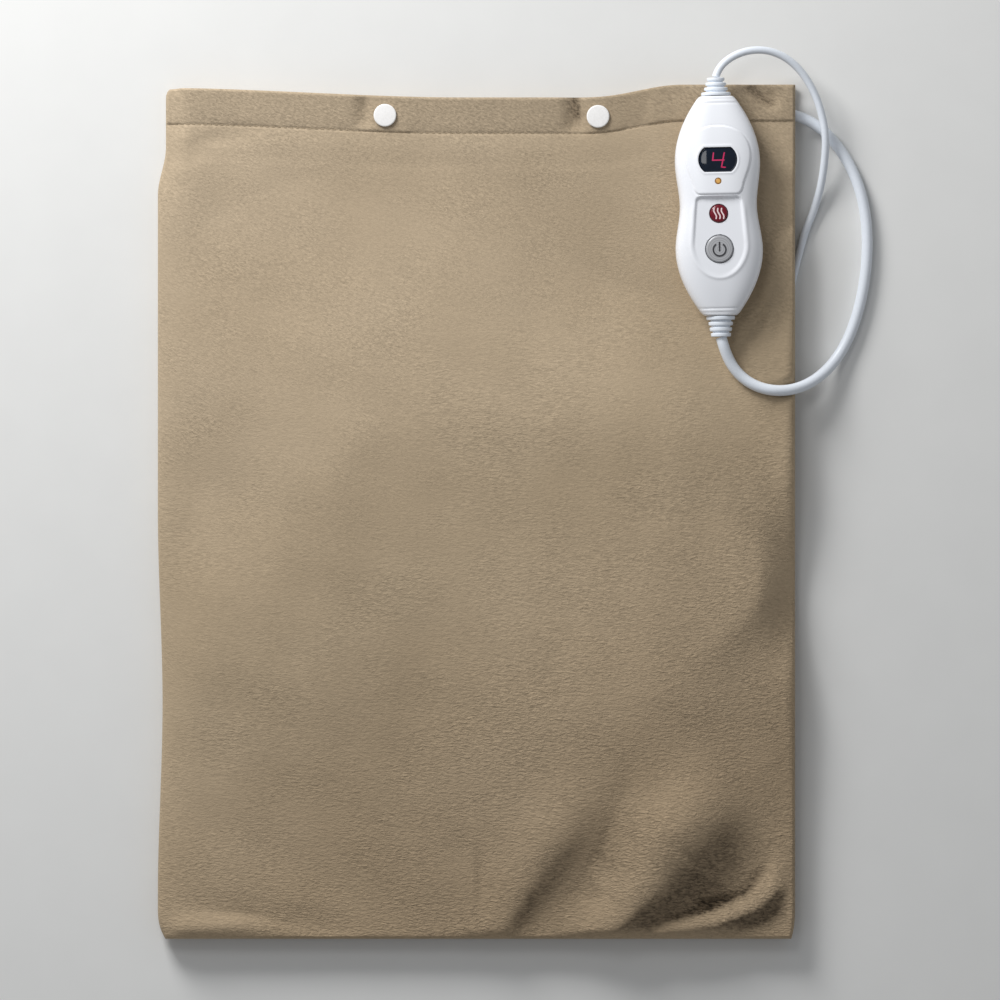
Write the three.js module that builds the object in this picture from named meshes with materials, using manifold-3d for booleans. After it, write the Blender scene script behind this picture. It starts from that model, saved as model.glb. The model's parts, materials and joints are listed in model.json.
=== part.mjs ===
// A heating pad with a hand controller, lying face up on a flat surface.
// Millimetres. +X is the pad's right, +Y its hemmed top edge, +Z up from the surface.
import * as THREE from "three";
import { mergeVertices } from "three/addons/utils/BufferGeometryUtils.js";
import Module from "manifold-3d";

const wasm = await Module();
wasm.setup();

const { smoothstep, clamp, degToRad } = THREE.MathUtils;

// Clearances.
const SEAT = 0.3;
const BUTTON_CLEARANCE = 0.35;

// Fleece cover.
const PAD_WIDTH = 300;
const PAD_LENGTH = 400;
const HALF_WIDTH = PAD_WIDTH / 2;
const HALF_LENGTH = PAD_LENGTH / 2;
const CLOTH = 2.4;
const HEM_WIDTH = 17;
const HEM_CLOTH = 2.8;
const SEAM_GROOVE = 0.9;
const SEAM_HALF_WIDTH = 3;
const RIM_GAP = 0.4;
const RIM_REACH = 18;
const RIM_LIFT = 2.5;
const RIM_ROLL = 4;
const HEM_DIP = 4.8;
const HEM_DIP_FULL = [-5, 50];
const HEM_DIP_END = HALF_WIDTH - 52;
const HEM_DIP_REACH = 70;
const HEM_DRAW_IN = 3.8;
const SIDE_BOW = 2.2;
const SIDE_BOW_AT = 111 - HALF_LENGTH;
const SIDE_BOW_REACH = 90;
const SIDE_REACH = 60;
const CORNER_PULL = 2;
const CORNER_REACH = 14;
const LATTICE_STEP = 26;

// Heating insert.
const INSERT_MARGIN = 11;
const INSERT_LAYER = 2;
const INSERT_FULL = 8;
const WIRE_DIAMETER = 2;
const WIRE_RUNS = 8;
const WIRE_EDGE = 18;
const WIRE_BEND = 7;
const WIRE_PAIR = 8;
const WIRE_STEP = 12;
const WIRE_TURN_STEPS = 6;
const SENSOR_SIZE = [9, 5];
const SENSOR_AT = 100 - HALF_LENGTH;
const CUTOUT_SIZE = [16, 7];
const CUTOUT_AT = HALF_LENGTH - 80;

// Press studs in the hem.
const STUD_AT = [-43, 57.2];
const STUD_CAP_DIAMETER = 10.7;
const STUD_CAP = 1.2;
const STUD_CAP_WALL = 0.6;
const STUD_CAP_FACE = 0.9;
const STUD_PIN_DIAMETER = 2.2;
const STUD_BODY_DIAMETER = 8.6;
const STUD_SOCKET = 2;
const STUD_BASE = 1.2;
const STUD_KNOB_DIAMETER = 3.6;
const STUD_KNOB = 1.5;
const STUD_SPACE = 4.4;
const STUD_FLAT = 10;
const STUD_FADE = 20;

// Leads.
const MAINS_LEAD_DIAMETER = 3.6;
const PAD_LEAD_DIAMETER = 5.2;

// Pocket in the cover's top right corner, where the pad lead goes in to its joint.
const POCKET_LEFT = STUD_AT[1] + STUD_FLAT;
const POCKET_BOTTOM = HALF_LENGTH - 54;
const POCKET_FADE = 18;
const JOINT_LENGTH = 28;
const JOINT_WIDTH = 14;
const JOINT_THICK = PAD_LEAD_DIAMETER;
const JOINT_INSET = 24;
const JOINT_ABOVE_SEAM = 5;
const LEAD_ENTRY = [3, 12];

// Coil of the mains lead, put away under the pad, and its tie.
const COIL_AT = [HALF_WIDTH - 80, HALF_LENGTH - 230];
const COIL_INNER = 16;
const COIL_TURNS = 4.25;
const COIL_PITCH = MAINS_LEAD_DIAMETER + 1;
const COIL_LAYER = MAINS_LEAD_DIAMETER + 0.9;
const COIL_STEPS = 18;
const COIL_LEAD_IN = 5;
const COIL_APPROACH = 12;
const TIE_BAND = 0.8;
const TIE_WIDTH = 8;
const TIE_SLACK = 0.9;
const FLOOR_GAP = 0.2;

// Two-pin mains plug.
const PLUG_LENGTH = 36;
const PLUG_WIDTH = 35.3;
const PLUG_TAIL_WIDTH = 15;
const PLUG_THICK = 13.7;
const PLUG_RELIEF = 24;
const PIN_DIAMETER = 4;
const PIN_LENGTH = 19;
const PIN_SLEEVE = 10;
const PIN_SPACING = 18.6;
const PIN_CORE_RADIUS = 1.2;
const PIN_ROOT = 6;
const PLUG_SHOULDER = 0.4;
const TAIL_LENGTH = 26;

// How the pad rides over what lies under it.
const RIDE_GAP = 0.5;
const RIDE_MARGIN = 13;
const RIDE_REACH = 60;
const RIDE_EDGE = 36;
const LEAD_RIDE_MARGIN = 7;
const LEAD_RIDE_REACH = 11;

// Soft folds in the front panel, as crest lines from its bottom right corner, with a height and a half width.
const FOLDS = [
  { from: [-124, 10], to: [-88, 62], height: 2.6, width: 15 },
  { from: [-86, 8], to: [-38, 72], height: 3, width: 16 },
  { from: [-46, 8], to: [-8, 40], height: 2.4, width: 12 },
];

// Controller housing, in its own frame: length along Y, underside at Z = 0.
const HOUSING_AT = [HALF_WIDTH - 36.4, HALF_LENGTH - 55.3];
const HOUSING_TURN = 1.2;
const HOUSING_LENGTH = 103;
const UPPER_LOBE = 40;
const LOWER_LOBE = 41;
const WAIST = 36.2;
const END_WIDTH = 16.2;
const LOBE_AT = 20.5;
const END_SLOPE = 0.76;
const PARTING = 8.5;
const CROWN = 11.5;
const END_CROWN = 6;
const CROWN_POWER = 2.4;
const BELLY = 9;
const END_BELLY = 5.5;
const BELLY_POWER = 4;
const WALL = 2;
const END_WALL = 2.4;
const TOP_ROUNDING = 2.8;
const BOTTOM_ROUNDING = 3.5;
const OUTSIDE_MESH = [20, 12];
const INSIDE_MESH = [12, 8];

// Face of the controller.
const PANEL_RISE = 0.6;
const PANEL_TOP = 37.4;
const PANEL_BOTTOM = 5.4;
const PANEL_WIDTH = 30.8;
const PANEL_FOOT_WIDTH = 22.6;
const PANEL_WIDEST = 23.8;
const KEYPAD_TOP = 4.4;
const KEYPAD_BOTTOM = -33.1;
const KEYPAD_WIDTH = 25.2;
const KEYPAD_HEAD_WIDTH = 22.2;
const KEYPAD_WIDEST = -18;
const KEYPAD_FLOOR = 17.6;
const CEILING = 15.6;
const CORNER = 3.2;
const ARCH = 0.6;
const PANEL_SHOULDER = 8;
const PANEL_FLANK = 6;
const KEYPAD_SHOULDER = 7;
const WINDOW_AT = 21.5;
const WINDOW_WIDTH = 18.2;
const WINDOW_HEIGHT = 11.5;
const WINDOW_FLAT = 12.4;
const WINDOW_LIP = 0.9;
const DISPLAY_CEILING = 17.4;
const DISPLAY_MARGIN = 3;
const DISPLAY_MODULE = [10, 13];
const LIGHT_AT = 11.4;
const LIGHT_DIAMETER = 3;
const LED_SIZE = [2, 1.6, 1.1];

// Buttons and their switches.
const HEAT_AT = -3.8;
const HEAT_DIAMETER = 8.3;
const HEAT_PROUD = 1;
const POWER_AT = -20.4;
const POWER_DIAMETER = 12.8;
const POWER_PROUD = 1.3;
const BUTTON_FLANGE = 1;
const BUTTON_FLANGE_THICK = 1.2;
const BUTTON_STEM_RADIUS = 2;
const BUTTON_TRAVEL = 0.6;
const BUTTON_BEVEL = 0.6;
const BUTTON_DOME = 0.2;
const SWITCH_SIZE = 6.2;
const SWITCH_HEIGHT = 3.5;
const PLUNGER_RADIUS = 1.6;
const PLUNGER_LENGTH = 2.4;
const PLUNGER_SUNK = 1;

// Circuit board and what stands on it.
const BOARD_WIDTH = 22;
const BOARD_TOP_END = HOUSING_LENGTH / 2 - 9.5;
const BOARD_BOTTOM_END = 12.5 - HOUSING_LENGTH / 2;
const BOARD_UNDERSIDE = 5.6;
const BOARD_THICK = 1.6;
const BOARD_TOP = BOARD_UNDERSIDE + BOARD_THICK;
const PARTS_Z = BOARD_TOP + SEAT;
const CHIP_SIZE = [10, 5, 1.6];
const CHIP_AT = 4;
const TRIAC_SIZE = [9, 5, 3];
const CAPACITOR_SIZE = [4.6, 12, 5.5];
const SIDE_GAP = 0.9;
const TERMINAL_LENGTH = 6;
const MAINS_TERMINAL_SIZE = [10, TERMINAL_LENGTH, 5];
const PAD_TERMINAL_SIZE = [12, TERMINAL_LENGTH, 5];
const FUSE_RADIUS = 1.8;
const FUSE_LENGTH = 12;
const CORE_RADIUS = 0.8;
const CORE_SPACING = 4.4;
const CORE_RISE = 1;

// Screws that hold the two shells together.
const SCREW_AT = [
  [-14.6, LOBE_AT],
  [14.6, LOBE_AT],
  [-14.8, -LOBE_AT],
  [14.8, -LOBE_AT],
];
const BOSS_RADIUS = 3;
const SCREW_RADIUS = 1.2;
const SCREW_HEAD_RADIUS = 2.4;
const SCREW_HEAD = 1.6;
const SCREW_SUNK = 0.8;
const SCREW_END = 13;
const POST_RADIUS = 1.8;
const POST_INSET = [3, 8];

// Ribbed strain reliefs: outer radius of each rib, from the housing outwards.
const MAINS_RIBS = [7, 5.6, 4.9, 4.2];
const PAD_RIBS = [6.8, 5.8, 5.3, 4.8];
const MAINS_RIB_PITCH = 2.3;
const PAD_RIB_PITCH = 2.65;
const RIB_GROOVE = 0.9;
const RIB_SHARE = 0.64;
const RELIEF_FLAT = 0.85;
const RELIEF_NECK = 3.6;
const RELIEF_FLANGE = 4.9;
const RELIEF_FLANGE_THICK = 2;

// Higher than anything that a hole or a boss has to reach.
const FAR_UP = 40;

// Values that follow from those above.
const HEM_SEAM = HALF_LENGTH - HEM_WIDTH;
const WIRE_SPACE = WIRE_DIAMETER + 4 * SEAT;
const INSERT_THICK = 2 * INSERT_LAYER + WIRE_SPACE;
const CAVITY = INSERT_THICK + 2 * SEAT;
const INSERT_HALF_WIDTH = HALF_WIDTH - INSERT_MARGIN;
const INSERT_BOTTOM = INSERT_MARGIN - HALF_LENGTH;
const INSERT_TOP = HEM_SEAM - INSERT_MARGIN;
const STUD_Y = HEM_SEAM + HEM_WIDTH / 2;
const HOUSING_HALF = HOUSING_LENGTH / 2;
const COIL_OUTER = COIL_INNER + COIL_PITCH * COIL_TURNS;
const COIL_LOW = FLOOR_GAP + TIE_BAND + SEAT + MAINS_LEAD_DIAMETER / 2;
const COIL_HIGH = COIL_LOW + COIL_LAYER;
const TIE_TOP = COIL_HIGH + MAINS_LEAD_DIAMETER / 2 + SEAT + TIE_BAND;
const PLUG_Z = FLOOR_GAP + PLUG_THICK / 2;
const PLUG_Y = COIL_AT[1] + COIL_OUTER;
const PLUG_END_X = COIL_AT[0] - TAIL_LENGTH;
const PLUG_FACE_X = PLUG_END_X - PLUG_RELIEF - PLUG_LENGTH;
const JOINT_X = HALF_WIDTH - JOINT_INSET - JOINT_LENGTH / 2;
const JOINT_Y = HEM_SEAM + JOINT_ABOVE_SEAM;

// Making and joining solids.

function closed(positions, triangles) {
  const geometry = new THREE.BufferGeometry();
  geometry.setAttribute("position", new THREE.Float32BufferAttribute(positions, 3));
  geometry.setIndex(Array.from(triangles));
  return geometry;
}

function solid(geometry) {
  const bare = geometry.clone();
  bare.deleteAttribute("normal");
  bare.deleteAttribute("uv");
  const merged = mergeVertices(bare, 1e-4);
  const index = merged.index.array;
  const triangles = [];
  for (let i = 0; i < index.length; i += 3) {
    const [a, b, c] = [index[i], index[i + 1], index[i + 2]];
    if (a !== b && b !== c && c !== a) {
      triangles.push(a, b, c);
    }
  }
  const vertProperties = merged.attributes.position.array;
  const bodyOf = (list) =>
    new wasm.Manifold(new wasm.Mesh({ numProp: 3, vertProperties, triVerts: Uint32Array.from(list) }));
  const body = bodyOf(triangles);
  return body.volume() < 0 ? bodyOf(triangles.reverse()) : body;
}

function geometryOf(body) {
  const mesh = body.getMesh();
  return closed(mesh.vertProperties, mesh.triVerts);
}

function joined(...geometries) {
  return geometryOf(geometries.map(solid).reduce((whole, next) => whole.add(next)));
}

function cut(geometry, ...tools) {
  return geometryOf(tools.map(solid).reduce((whole, tool) => whole.subtract(tool), solid(geometry)));
}

function common(first, second) {
  return geometryOf(solid(first).intersect(solid(second)));
}

function slab(width, length, bottom, top) {
  return new THREE.BoxGeometry(width, length, top - bottom).translate(0, 0, (bottom + top) / 2);
}

function prism(shape, bottom, top, curveSegments = 6) {
  const options = { depth: top - bottom, bevelEnabled: false, curveSegments };
  return new THREE.ExtrudeGeometry(shape, options).translate(0, 0, bottom);
}

function turned(profile, sides) {
  const points = profile.map(([radius, height]) => new THREE.Vector2(radius, height));
  return new THREE.LatheGeometry(points, sides).rotateX(Math.PI / 2);
}

function rod(radius, bottom, top, sides = 12) {
  return turned([[0, bottom], [radius, bottom], [radius, top], [0, top]], sides);
}

function ring(inner, outer, bottom, top, sides) {
  return turned([[inner, bottom], [outer, bottom], [outer, top], [inner, top], [inner, bottom]], sides);
}

// Skins a row of equal rings and closes both ends.
function loft(rings) {
  const size = rings[0].length;
  const last = (rings.length - 1) * size;
  const triangles = [];
  for (let row = 0; row + 1 < rings.length; row += 1) {
    for (let i = 0; i < size; i += 1) {
      const next = (i + 1) % size;
      const [a, b] = [row * size + i, row * size + next];
      triangles.push(a, b, b + size, a, b + size, a + size);
    }
  }
  for (let i = 1; i + 1 < size; i += 1) {
    triangles.push(0, i + 1, i, last, last + i, last + i + 1);
  }
  return closed(rings.flat().flatMap((point) => point.toArray()), triangles);
}

// A round tube through every point, for runs that never stand upright.
function woundTube(points, radius, sides) {
  const up = new THREE.Vector3(0, 0, 1);
  const rings = points.map((point, i) => {
    const before = points[Math.max(i - 1, 0)];
    const after = points[Math.min(i + 1, points.length - 1)];
    const along = after.clone().sub(before).normalize();
    const side = up.clone().cross(along).normalize();
    const top = along.clone().cross(side);
    return Array.from({ length: sides }, (_, k) => {
      const angle = (2 * Math.PI * k) / sides;
      const out = side.clone().multiplyScalar(radius * Math.cos(angle));
      return out.addScaledVector(top, radius * Math.sin(angle)).add(point);
    });
  });
  return loft(rings);
}

// A cord drawn along a smooth curve through its points.
function cord(points, diameter, steps, sides) {
  const section = new THREE.Shape(
    Array.from({ length: sides }, (_, k) => {
      const angle = (2 * Math.PI * k) / sides;
      return new THREE.Vector2(Math.cos(angle), Math.sin(angle)).multiplyScalar(diameter / 2);
    }),
  );
  const path = new THREE.CatmullRomCurve3(points, false, "centripetal");
  return new THREE.ExtrudeGeometry(section, { steps, bevelEnabled: false, extrudePath: path });
}

// Shape of the pad. Every layer is a sheet over one lattice, so layers never cross.

function lattice(keys, step) {
  const sorted = [...keys].sort((a, b) => a - b);
  const lines = [sorted[0]];
  for (const key of sorted.slice(1)) {
    const from = lines[lines.length - 1];
    const count = Math.max(1, Math.ceil((key - from) / step - 1e-6));
    if (key - from < 1) {
      continue;
    }
    for (let k = 1; k <= count; k += 1) {
      lines.push(from + ((key - from) * k) / count);
    }
  }
  return lines;
}

const RIM_LINES = [0, RIM_ROLL, INSERT_MARGIN, INSERT_MARGIN + INSERT_FULL];

const ACROSS = lattice(
  [
    ...RIM_LINES.flatMap((inset) => [inset - HALF_WIDTH, HALF_WIDTH - inset]),
    ...STUD_AT.flatMap((x) => [x - STUD_FLAT, x + STUD_FLAT]),
    POCKET_LEFT + POCKET_FADE,
  ],
  LATTICE_STEP,
);

const ALONG = lattice(
  [
    ...RIM_LINES.map((inset) => inset - HALF_LENGTH),
    INSERT_TOP - INSERT_FULL,
    INSERT_TOP,
    HEM_SEAM - SEAM_HALF_WIDTH,
    HEM_SEAM,
    HEM_SEAM + SEAM_HALF_WIDTH,
    HALF_LENGTH - SEAM_HALF_WIDTH,
    HALF_LENGTH,
  ],
  LATTICE_STEP,
);

const INSERT_ACROSS = ACROSS.filter((x) => Math.abs(x) <= INSERT_HALF_WIDTH + 1e-6);
const INSERT_ALONG = ALONG.filter((y) => y >= INSERT_BOTTOM - 1e-6 && y <= INSERT_TOP + 1e-6);

function swell(offset, reach) {
  return 1 - smoothstep(Math.abs(offset), 0, reach);
}

// Moves a lattice point to where the sewn cover draws it: the dipped hem and the bowed sides.
function drawnIn(x, y) {
  const [dipFrom, dipTo] = HEM_DIP_FULL;
  const dip = HEM_DIP * smoothstep(x, -HALF_WIDTH, dipFrom) * (1 - smoothstep(x, dipTo, HEM_DIP_END));
  const byHem = smoothstep(y, HEM_SEAM - HEM_DIP_REACH, HEM_SEAM - INSERT_MARGIN);
  const byLeft = smoothstep(-x, HALF_WIDTH - SIDE_REACH, HALF_WIDTH);
  const bySide = smoothstep(Math.abs(x), HALF_WIDTH - CORNER_REACH, HALF_WIDTH);
  const byFoot = smoothstep(-y, HALF_LENGTH - CORNER_REACH, HALF_LENGTH);
  const atHem = HEM_DRAW_IN * smoothstep(y, HEM_SEAM - 3 * INSERT_MARGIN, HEM_SEAM - INSERT_MARGIN);
  const leftInset = atHem + SIDE_BOW * swell(y - SIDE_BOW_AT, SIDE_BOW_REACH);
  const pull = CORNER_PULL * bySide * byFoot;
  return [x + leftInset * byLeft - Math.sign(x) * pull, y - dip * byHem + pull];
}

function toSegment(x, y, [ax, ay], [bx, by]) {
  const [dx, dy] = [bx - ax, by - ay];
  const share = clamp(((x - ax) * dx + (y - ay) * dy) / (dx * dx + dy * dy), 0, 1);
  return Math.hypot(x - ax - dx * share, y - ay - dy * share);
}

function ride(distance, height, margin = RIDE_MARGIN, reach = RIDE_REACH) {
  return (height + RIDE_GAP) * (1 - smoothstep(distance, margin, margin + reach));
}

// Points that are given from the pad's top right corner.
function fromCorner(list) {
  return list.map(([x, y, ...z]) => [x + HALF_WIDTH, y + HALF_LENGTH, ...z]);
}

// Where the mains lead runs on the surface under the pad, from the right edge to the coil.
const UNDER_PAD = [
  ...fromCorner([
    [2.4, -76],
    [-2.4, -96],
    [-5.4, -120],
    [-8, -144],
    [-14, -168],
    [-27, -186],
    [-44, -193.4],
  ]),
  [COIL_AT[0] + COIL_APPROACH, COIL_AT[1] + COIL_OUTER],
];

function liftAt(x, y) {
  const toCoil = Math.hypot(x - COIL_AT[0], y - COIL_AT[1]) - COIL_OUTER - MAINS_LEAD_DIAMETER;
  const toPlug = toSegment(x, y, [PLUG_END_X, PLUG_Y], [PLUG_FACE_X - PIN_LENGTH, PLUG_Y]) - PLUG_WIDTH / 2;
  const runs = UNDER_PAD.slice(1).map((point, i) => toSegment(x, y, UNDER_PAD[i], point));
  const leadTop = MAINS_LEAD_DIAMETER + FLOOR_GAP;
  const overLead = ride(Math.min(...runs), leadTop, LEAD_RIDE_MARGIN, LEAD_RIDE_REACH);
  const overPlug = ride(toPlug, PLUG_Z + PLUG_THICK / 2);
  const fromEdge = Math.min(HALF_WIDTH - Math.abs(x), y + HALF_LENGTH);
  const overBulk = Math.max(ride(toCoil, TIE_TOP), overPlug) * smoothstep(fromEdge, 0, RIDE_EDGE);
  return Math.max(overBulk, overLead);
}

function filledAt(x, y) {
  const sides = smoothstep(HALF_WIDTH - Math.abs(x), 0, RIM_REACH);
  const ends = Math.min(smoothstep(y + HALF_LENGTH, 0, RIM_REACH), smoothstep(HEM_SEAM - y, 0, RIM_REACH));
  return Math.min(sides, ends);
}

function pocketAt(x, y) {
  const across = smoothstep(x, POCKET_LEFT, POCKET_LEFT + POCKET_FADE);
  return across * smoothstep(y, POCKET_BOTTOM, POCKET_BOTTOM + POCKET_FADE);
}

function studAt(x, y) {
  const nearest = Math.min(...STUD_AT.map((at) => Math.abs(x - at)));
  const along = smoothstep(y, HEM_SEAM - INSERT_MARGIN, HEM_SEAM);
  return along * (1 - smoothstep(nearest, STUD_FLAT, STUD_FLAT + STUD_FADE));
}

function spaceAt(x, y) {
  const inside = (CAVITY - RIM_GAP) * Math.max(filledAt(x, y), pocketAt(x, y));
  const atStud = (STUD_SPACE - RIM_GAP) * studAt(x, y);
  return RIM_GAP + Math.max(inside, atStud);
}

function undersideAt(x, y) {
  const rim = RIM_LIFT * (1 - filledAt(x, y)) * (1 - pocketAt(x, y));
  return Math.max(rim, liftAt(x, y));
}

function clothAt(y) {
  return y > HEM_SEAM ? HEM_CLOTH : CLOTH;
}

function middleAt(x, y) {
  return undersideAt(x, y) + clothAt(y) + spaceAt(x, y) / 2;
}

function foldsAt(x, y) {
  const [cornerX, cornerY] = [x - HALF_WIDTH, y + HALF_LENGTH];
  const crests = FOLDS.map(
    ({ from, to, height, width }) => height * swell(toSegment(cornerX, cornerY, from, to), 2 * width),
  );
  return Math.max(...crests) * smoothstep(HALF_WIDTH - Math.abs(x), 0, RIM_REACH);
}

function frontUnderAt(x, y) {
  return middleAt(x, y) + spaceAt(x, y) / 2 + foldsAt(x, y);
}

function frontTopAt(x, y) {
  const groove = SEAM_GROOVE * (1 - smoothstep(Math.abs(y - HEM_SEAM), 0, SEAM_HALF_WIDTH));
  return frontUnderAt(x, y) + clothAt(y) - groove;
}

// Half the height between the insert's two layers: the wire's space, closing to a seam at the rim.
function wireRoomAt(x, y) {
  return Math.max(SEAT, spaceAt(x, y) - 2 * (INSERT_LAYER + SEAT)) / 2;
}

function sheet(across, along, bottomAt, topAt) {
  const width = across.length;
  const layer = width * along.length;
  const positions = [];
  for (const heightAt of [bottomAt, topAt]) {
    for (const y of along) {
      positions.push(...across.flatMap((x) => [...drawnIn(x, y), heightAt(x, y)]));
    }
  }
  const triangles = [];
  const wall = (a, b) => triangles.push(a, b, b + layer, a, b + layer, a + layer);
  for (let j = 0; j + 1 < along.length; j += 1) {
    for (let i = 0; i + 1 < width; i += 1) {
      const a = j * width + i;
      const [b, c, d] = [a + 1, a + width + 1, a + width];
      triangles.push(a, c, b, a, d, c);
      triangles.push(a + layer, b + layer, c + layer, a + layer, c + layer, d + layer);
    }
    wall((j + 1) * width, j * width);
    wall(j * width + width - 1, (j + 1) * width + width - 1);
  }
  for (let i = 0; i + 1 < width; i += 1) {
    wall(i, i + 1);
    wall(layer - width + i + 1, layer - width + i);
  }
  return closed(positions, triangles);
}

// Height of a sheet between its lattice points.
function onLattice(heightAt, x, y) {
  const cell = (lines, value) => {
    const above = lines.findIndex((line) => line > value);
    const low = above < 0 ? lines.length - 2 : Math.max(above - 1, 0);
    return [lines[low], lines[low + 1]];
  };
  const [x0, x1] = cell(ACROSS, x);
  const [y0, y1] = cell(ALONG, y);
  const u = (x - x0) / (x1 - x0);
  const v = (y - y0) / (y1 - y0);
  const corner = u > v ? heightAt(x1, y0) : heightAt(x0, y1);
  const ends = heightAt(x0, y0) * (1 - Math.max(u, v)) + heightAt(x1, y1) * Math.min(u, v);
  return ends + corner * Math.abs(u - v);
}

// The pad and its fittings.

const pieces = new THREE.Group();
pieces.name = "heating_pad_with_controller";

function paint(name, color, roughness, metalness = 0) {
  const material = new THREE.MeshStandardMaterial({ color, roughness, metalness });
  material.name = name;
  return material;
}

const FLEECE = paint("fleece", 0xa8977d, 0.95);
const PADDING = paint("padding", 0xe6e1d6, 0.95);
const WHITE_CASE = paint("white_case", 0xf1f4f9, 0.25);
const WHITE_CORD = paint("white_cord", 0xe4eaf2, 0.5);
const WHITE_STUD = paint("white_stud", 0xf5f3f1, 0.35);
const WIRE_COAT = paint("wire_coat", 0xc9b48c, 0.6);
const RED_KEY = paint("red_key", 0x8a1526, 0.35);
const GREY_KEY = paint("grey_key", 0x98999d, 0.4);
const DARK_WINDOW = paint("dark_window", 0x09131b, 0.1);
const AMBER = paint("amber", 0xe0a955, 0.3);
const BOARD_GREEN = paint("board_green", 0x2f6b45, 0.5);
const BLACK_PLASTIC = paint("black_plastic", 0x1c1d20, 0.5);
const YELLOW_PLASTIC = paint("yellow_plastic", 0xd8b24a, 0.5);
const GREEN_PLASTIC = paint("green_plastic", 0x3f8f5a, 0.5);
const STEEL = paint("steel", 0xb9bcc0, 0.35, 1);
const BRASS = paint("brass", 0xc2a35a, 0.3, 1);

function add(name, geometry, material, parent = pieces) {
  const mesh = new THREE.Mesh(geometry, material);
  mesh.name = name;
  parent.add(mesh);
}

const studPlaces = STUD_AT.map((x) => {
  const [px, py] = drawnIn(x, STUD_Y);
  return { px, py, middle: middleAt(x, STUD_Y) };
});
const studHole = STUD_PIN_DIAMETER / 2 + SEAT;
const studHoles = studPlaces.map(({ px, py }) => rod(studHole, -FAR_UP, FAR_UP, 10).translate(px, py, 0));

const frontPanel = sheet(ACROSS, ALONG, frontUnderAt, frontTopAt);
add("cover_front_panel", cut(frontPanel, ...studHoles), FLEECE);
const backTopAt = (x, y) => middleAt(x, y) - spaceAt(x, y) / 2;
add("cover_back_panel", cut(sheet(ACROSS, ALONG, undersideAt, backTopAt), ...studHoles), FLEECE);

const topLayerAt = (x, y) => middleAt(x, y) + wireRoomAt(x, y);
const bottomLayerAt = (x, y) => middleAt(x, y) - wireRoomAt(x, y);
const insertLayer = (bottomAt, topAt) => sheet(INSERT_ACROSS, INSERT_ALONG, bottomAt, topAt);
const topLayer = insertLayer(topLayerAt, (x, y) => topLayerAt(x, y) + INSERT_LAYER);
add("insert_top_layer", topLayer, PADDING);
const bottomLayer = insertLayer((x, y) => bottomLayerAt(x, y) - INSERT_LAYER, bottomLayerAt);
add("insert_bottom_layer", bottomLayer, PADDING);

// Places between two heights where a run along the pad crosses an edge of the lattice's triangles.
function crossings(x, low, high) {
  const right = ACROSS.findIndex((line) => line > x);
  const share = (x - ACROSS[right - 1]) / (ACROSS[right] - ACROSS[right - 1]);
  const slanted = ALONG.slice(1).map((y, i) => ALONG[i] + share * (y - ALONG[i]));
  return [...ALONG, ...slanted].filter((y) => y > low + 1 && y < high - 1).sort((a, b) => a - b);
}

// Heating wire: up-and-down runs joined by half turns, then back along the top to the joint.
function wirePoints() {
  const half = INSERT_HALF_WIDTH - WIRE_EDGE;
  const pitch = (2 * half) / (WIRE_RUNS - 1);
  const turn = pitch / 2;
  const low = INSERT_BOTTOM + WIRE_EDGE + turn;
  const high = INSERT_TOP - WIRE_EDGE - turn;
  const top = INSERT_TOP - INSERT_FULL;
  const right = JOINT_X + WIRE_PAIR / 2;
  const left = JOINT_X - WIRE_PAIR / 2;
  const atJoint = JOINT_Y - JOINT_WIDTH / 2 - SEAT;
  const flat = [[right, atJoint], [right, top + 2 * WIRE_BEND], [half, top - WIRE_BEND]];
  for (let run = 0; run < WIRE_RUNS; run += 1) {
    const x = half - run * pitch;
    const [start, end] = run % 2 === 0 ? [high, low] : [low, high];
    const steps = [low, ...crossings(x, low, high), high];
    flat.push(...(start === low ? steps : steps.reverse()).map((y) => [x, y]));
    for (let k = 1; k < WIRE_TURN_STEPS && run + 1 < WIRE_RUNS; k += 1) {
      const angle = (Math.PI * k) / WIRE_TURN_STEPS;
      const out = end === low ? -1 : 1;
      flat.push([x - turn + turn * Math.cos(angle), end + out * turn * Math.sin(angle)]);
    }
  }
  flat.push([-half, top - WIRE_BEND], [-half + WIRE_BEND, top]);
  for (let x = -half + 2 * WIRE_BEND; x < left - 2 * WIRE_BEND; x += WIRE_STEP) {
    flat.push([x, top]);
  }
  flat.push([left - WIRE_BEND, top], [left, top + WIRE_BEND], [left, atJoint]);
  return flat.map(([x, y]) => new THREE.Vector3(...drawnIn(x, y), onLattice(middleAt, x, y)));
}

// Leaves out points that lie on the straight line between their neighbours.
function thinned(points, tolerance) {
  const kept = [points[0]];
  for (let i = 1; i + 1 < points.length; i += 1) {
    const line = new THREE.Line3(kept[kept.length - 1], points[i + 1]);
    const nearest = line.closestPointToPoint(points[i], true, new THREE.Vector3());
    if (nearest.distanceTo(points[i]) > tolerance) {
      kept.push(points[i]);
    }
  }
  return [...kept, points[points.length - 1]];
}

add("heating_wire", woundTube(thinned(wirePoints(), 0.02), WIRE_DIAMETER / 2, 5), WIRE_COAT);

const wirePitch = (2 * (INSERT_HALF_WIDTH - WIRE_EDGE)) / (WIRE_RUNS - 1);
function betweenRuns(name, gap, y, [width, length], material) {
  const x = -INSERT_HALF_WIDTH + WIRE_EDGE + wirePitch * (gap + 0.5);
  const middle = onLattice(middleAt, x, y);
  const half = WIRE_DIAMETER / 2;
  add(name, slab(width, length, middle - half, middle + half).translate(...drawnIn(x, y), 0), material);
}
betweenRuns("temperature_sensor", 0, SENSOR_AT, SENSOR_SIZE, BLACK_PLASTIC);
betweenRuns("thermal_cutout", 1, CUTOUT_AT, CUTOUT_SIZE, STEEL);

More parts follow.
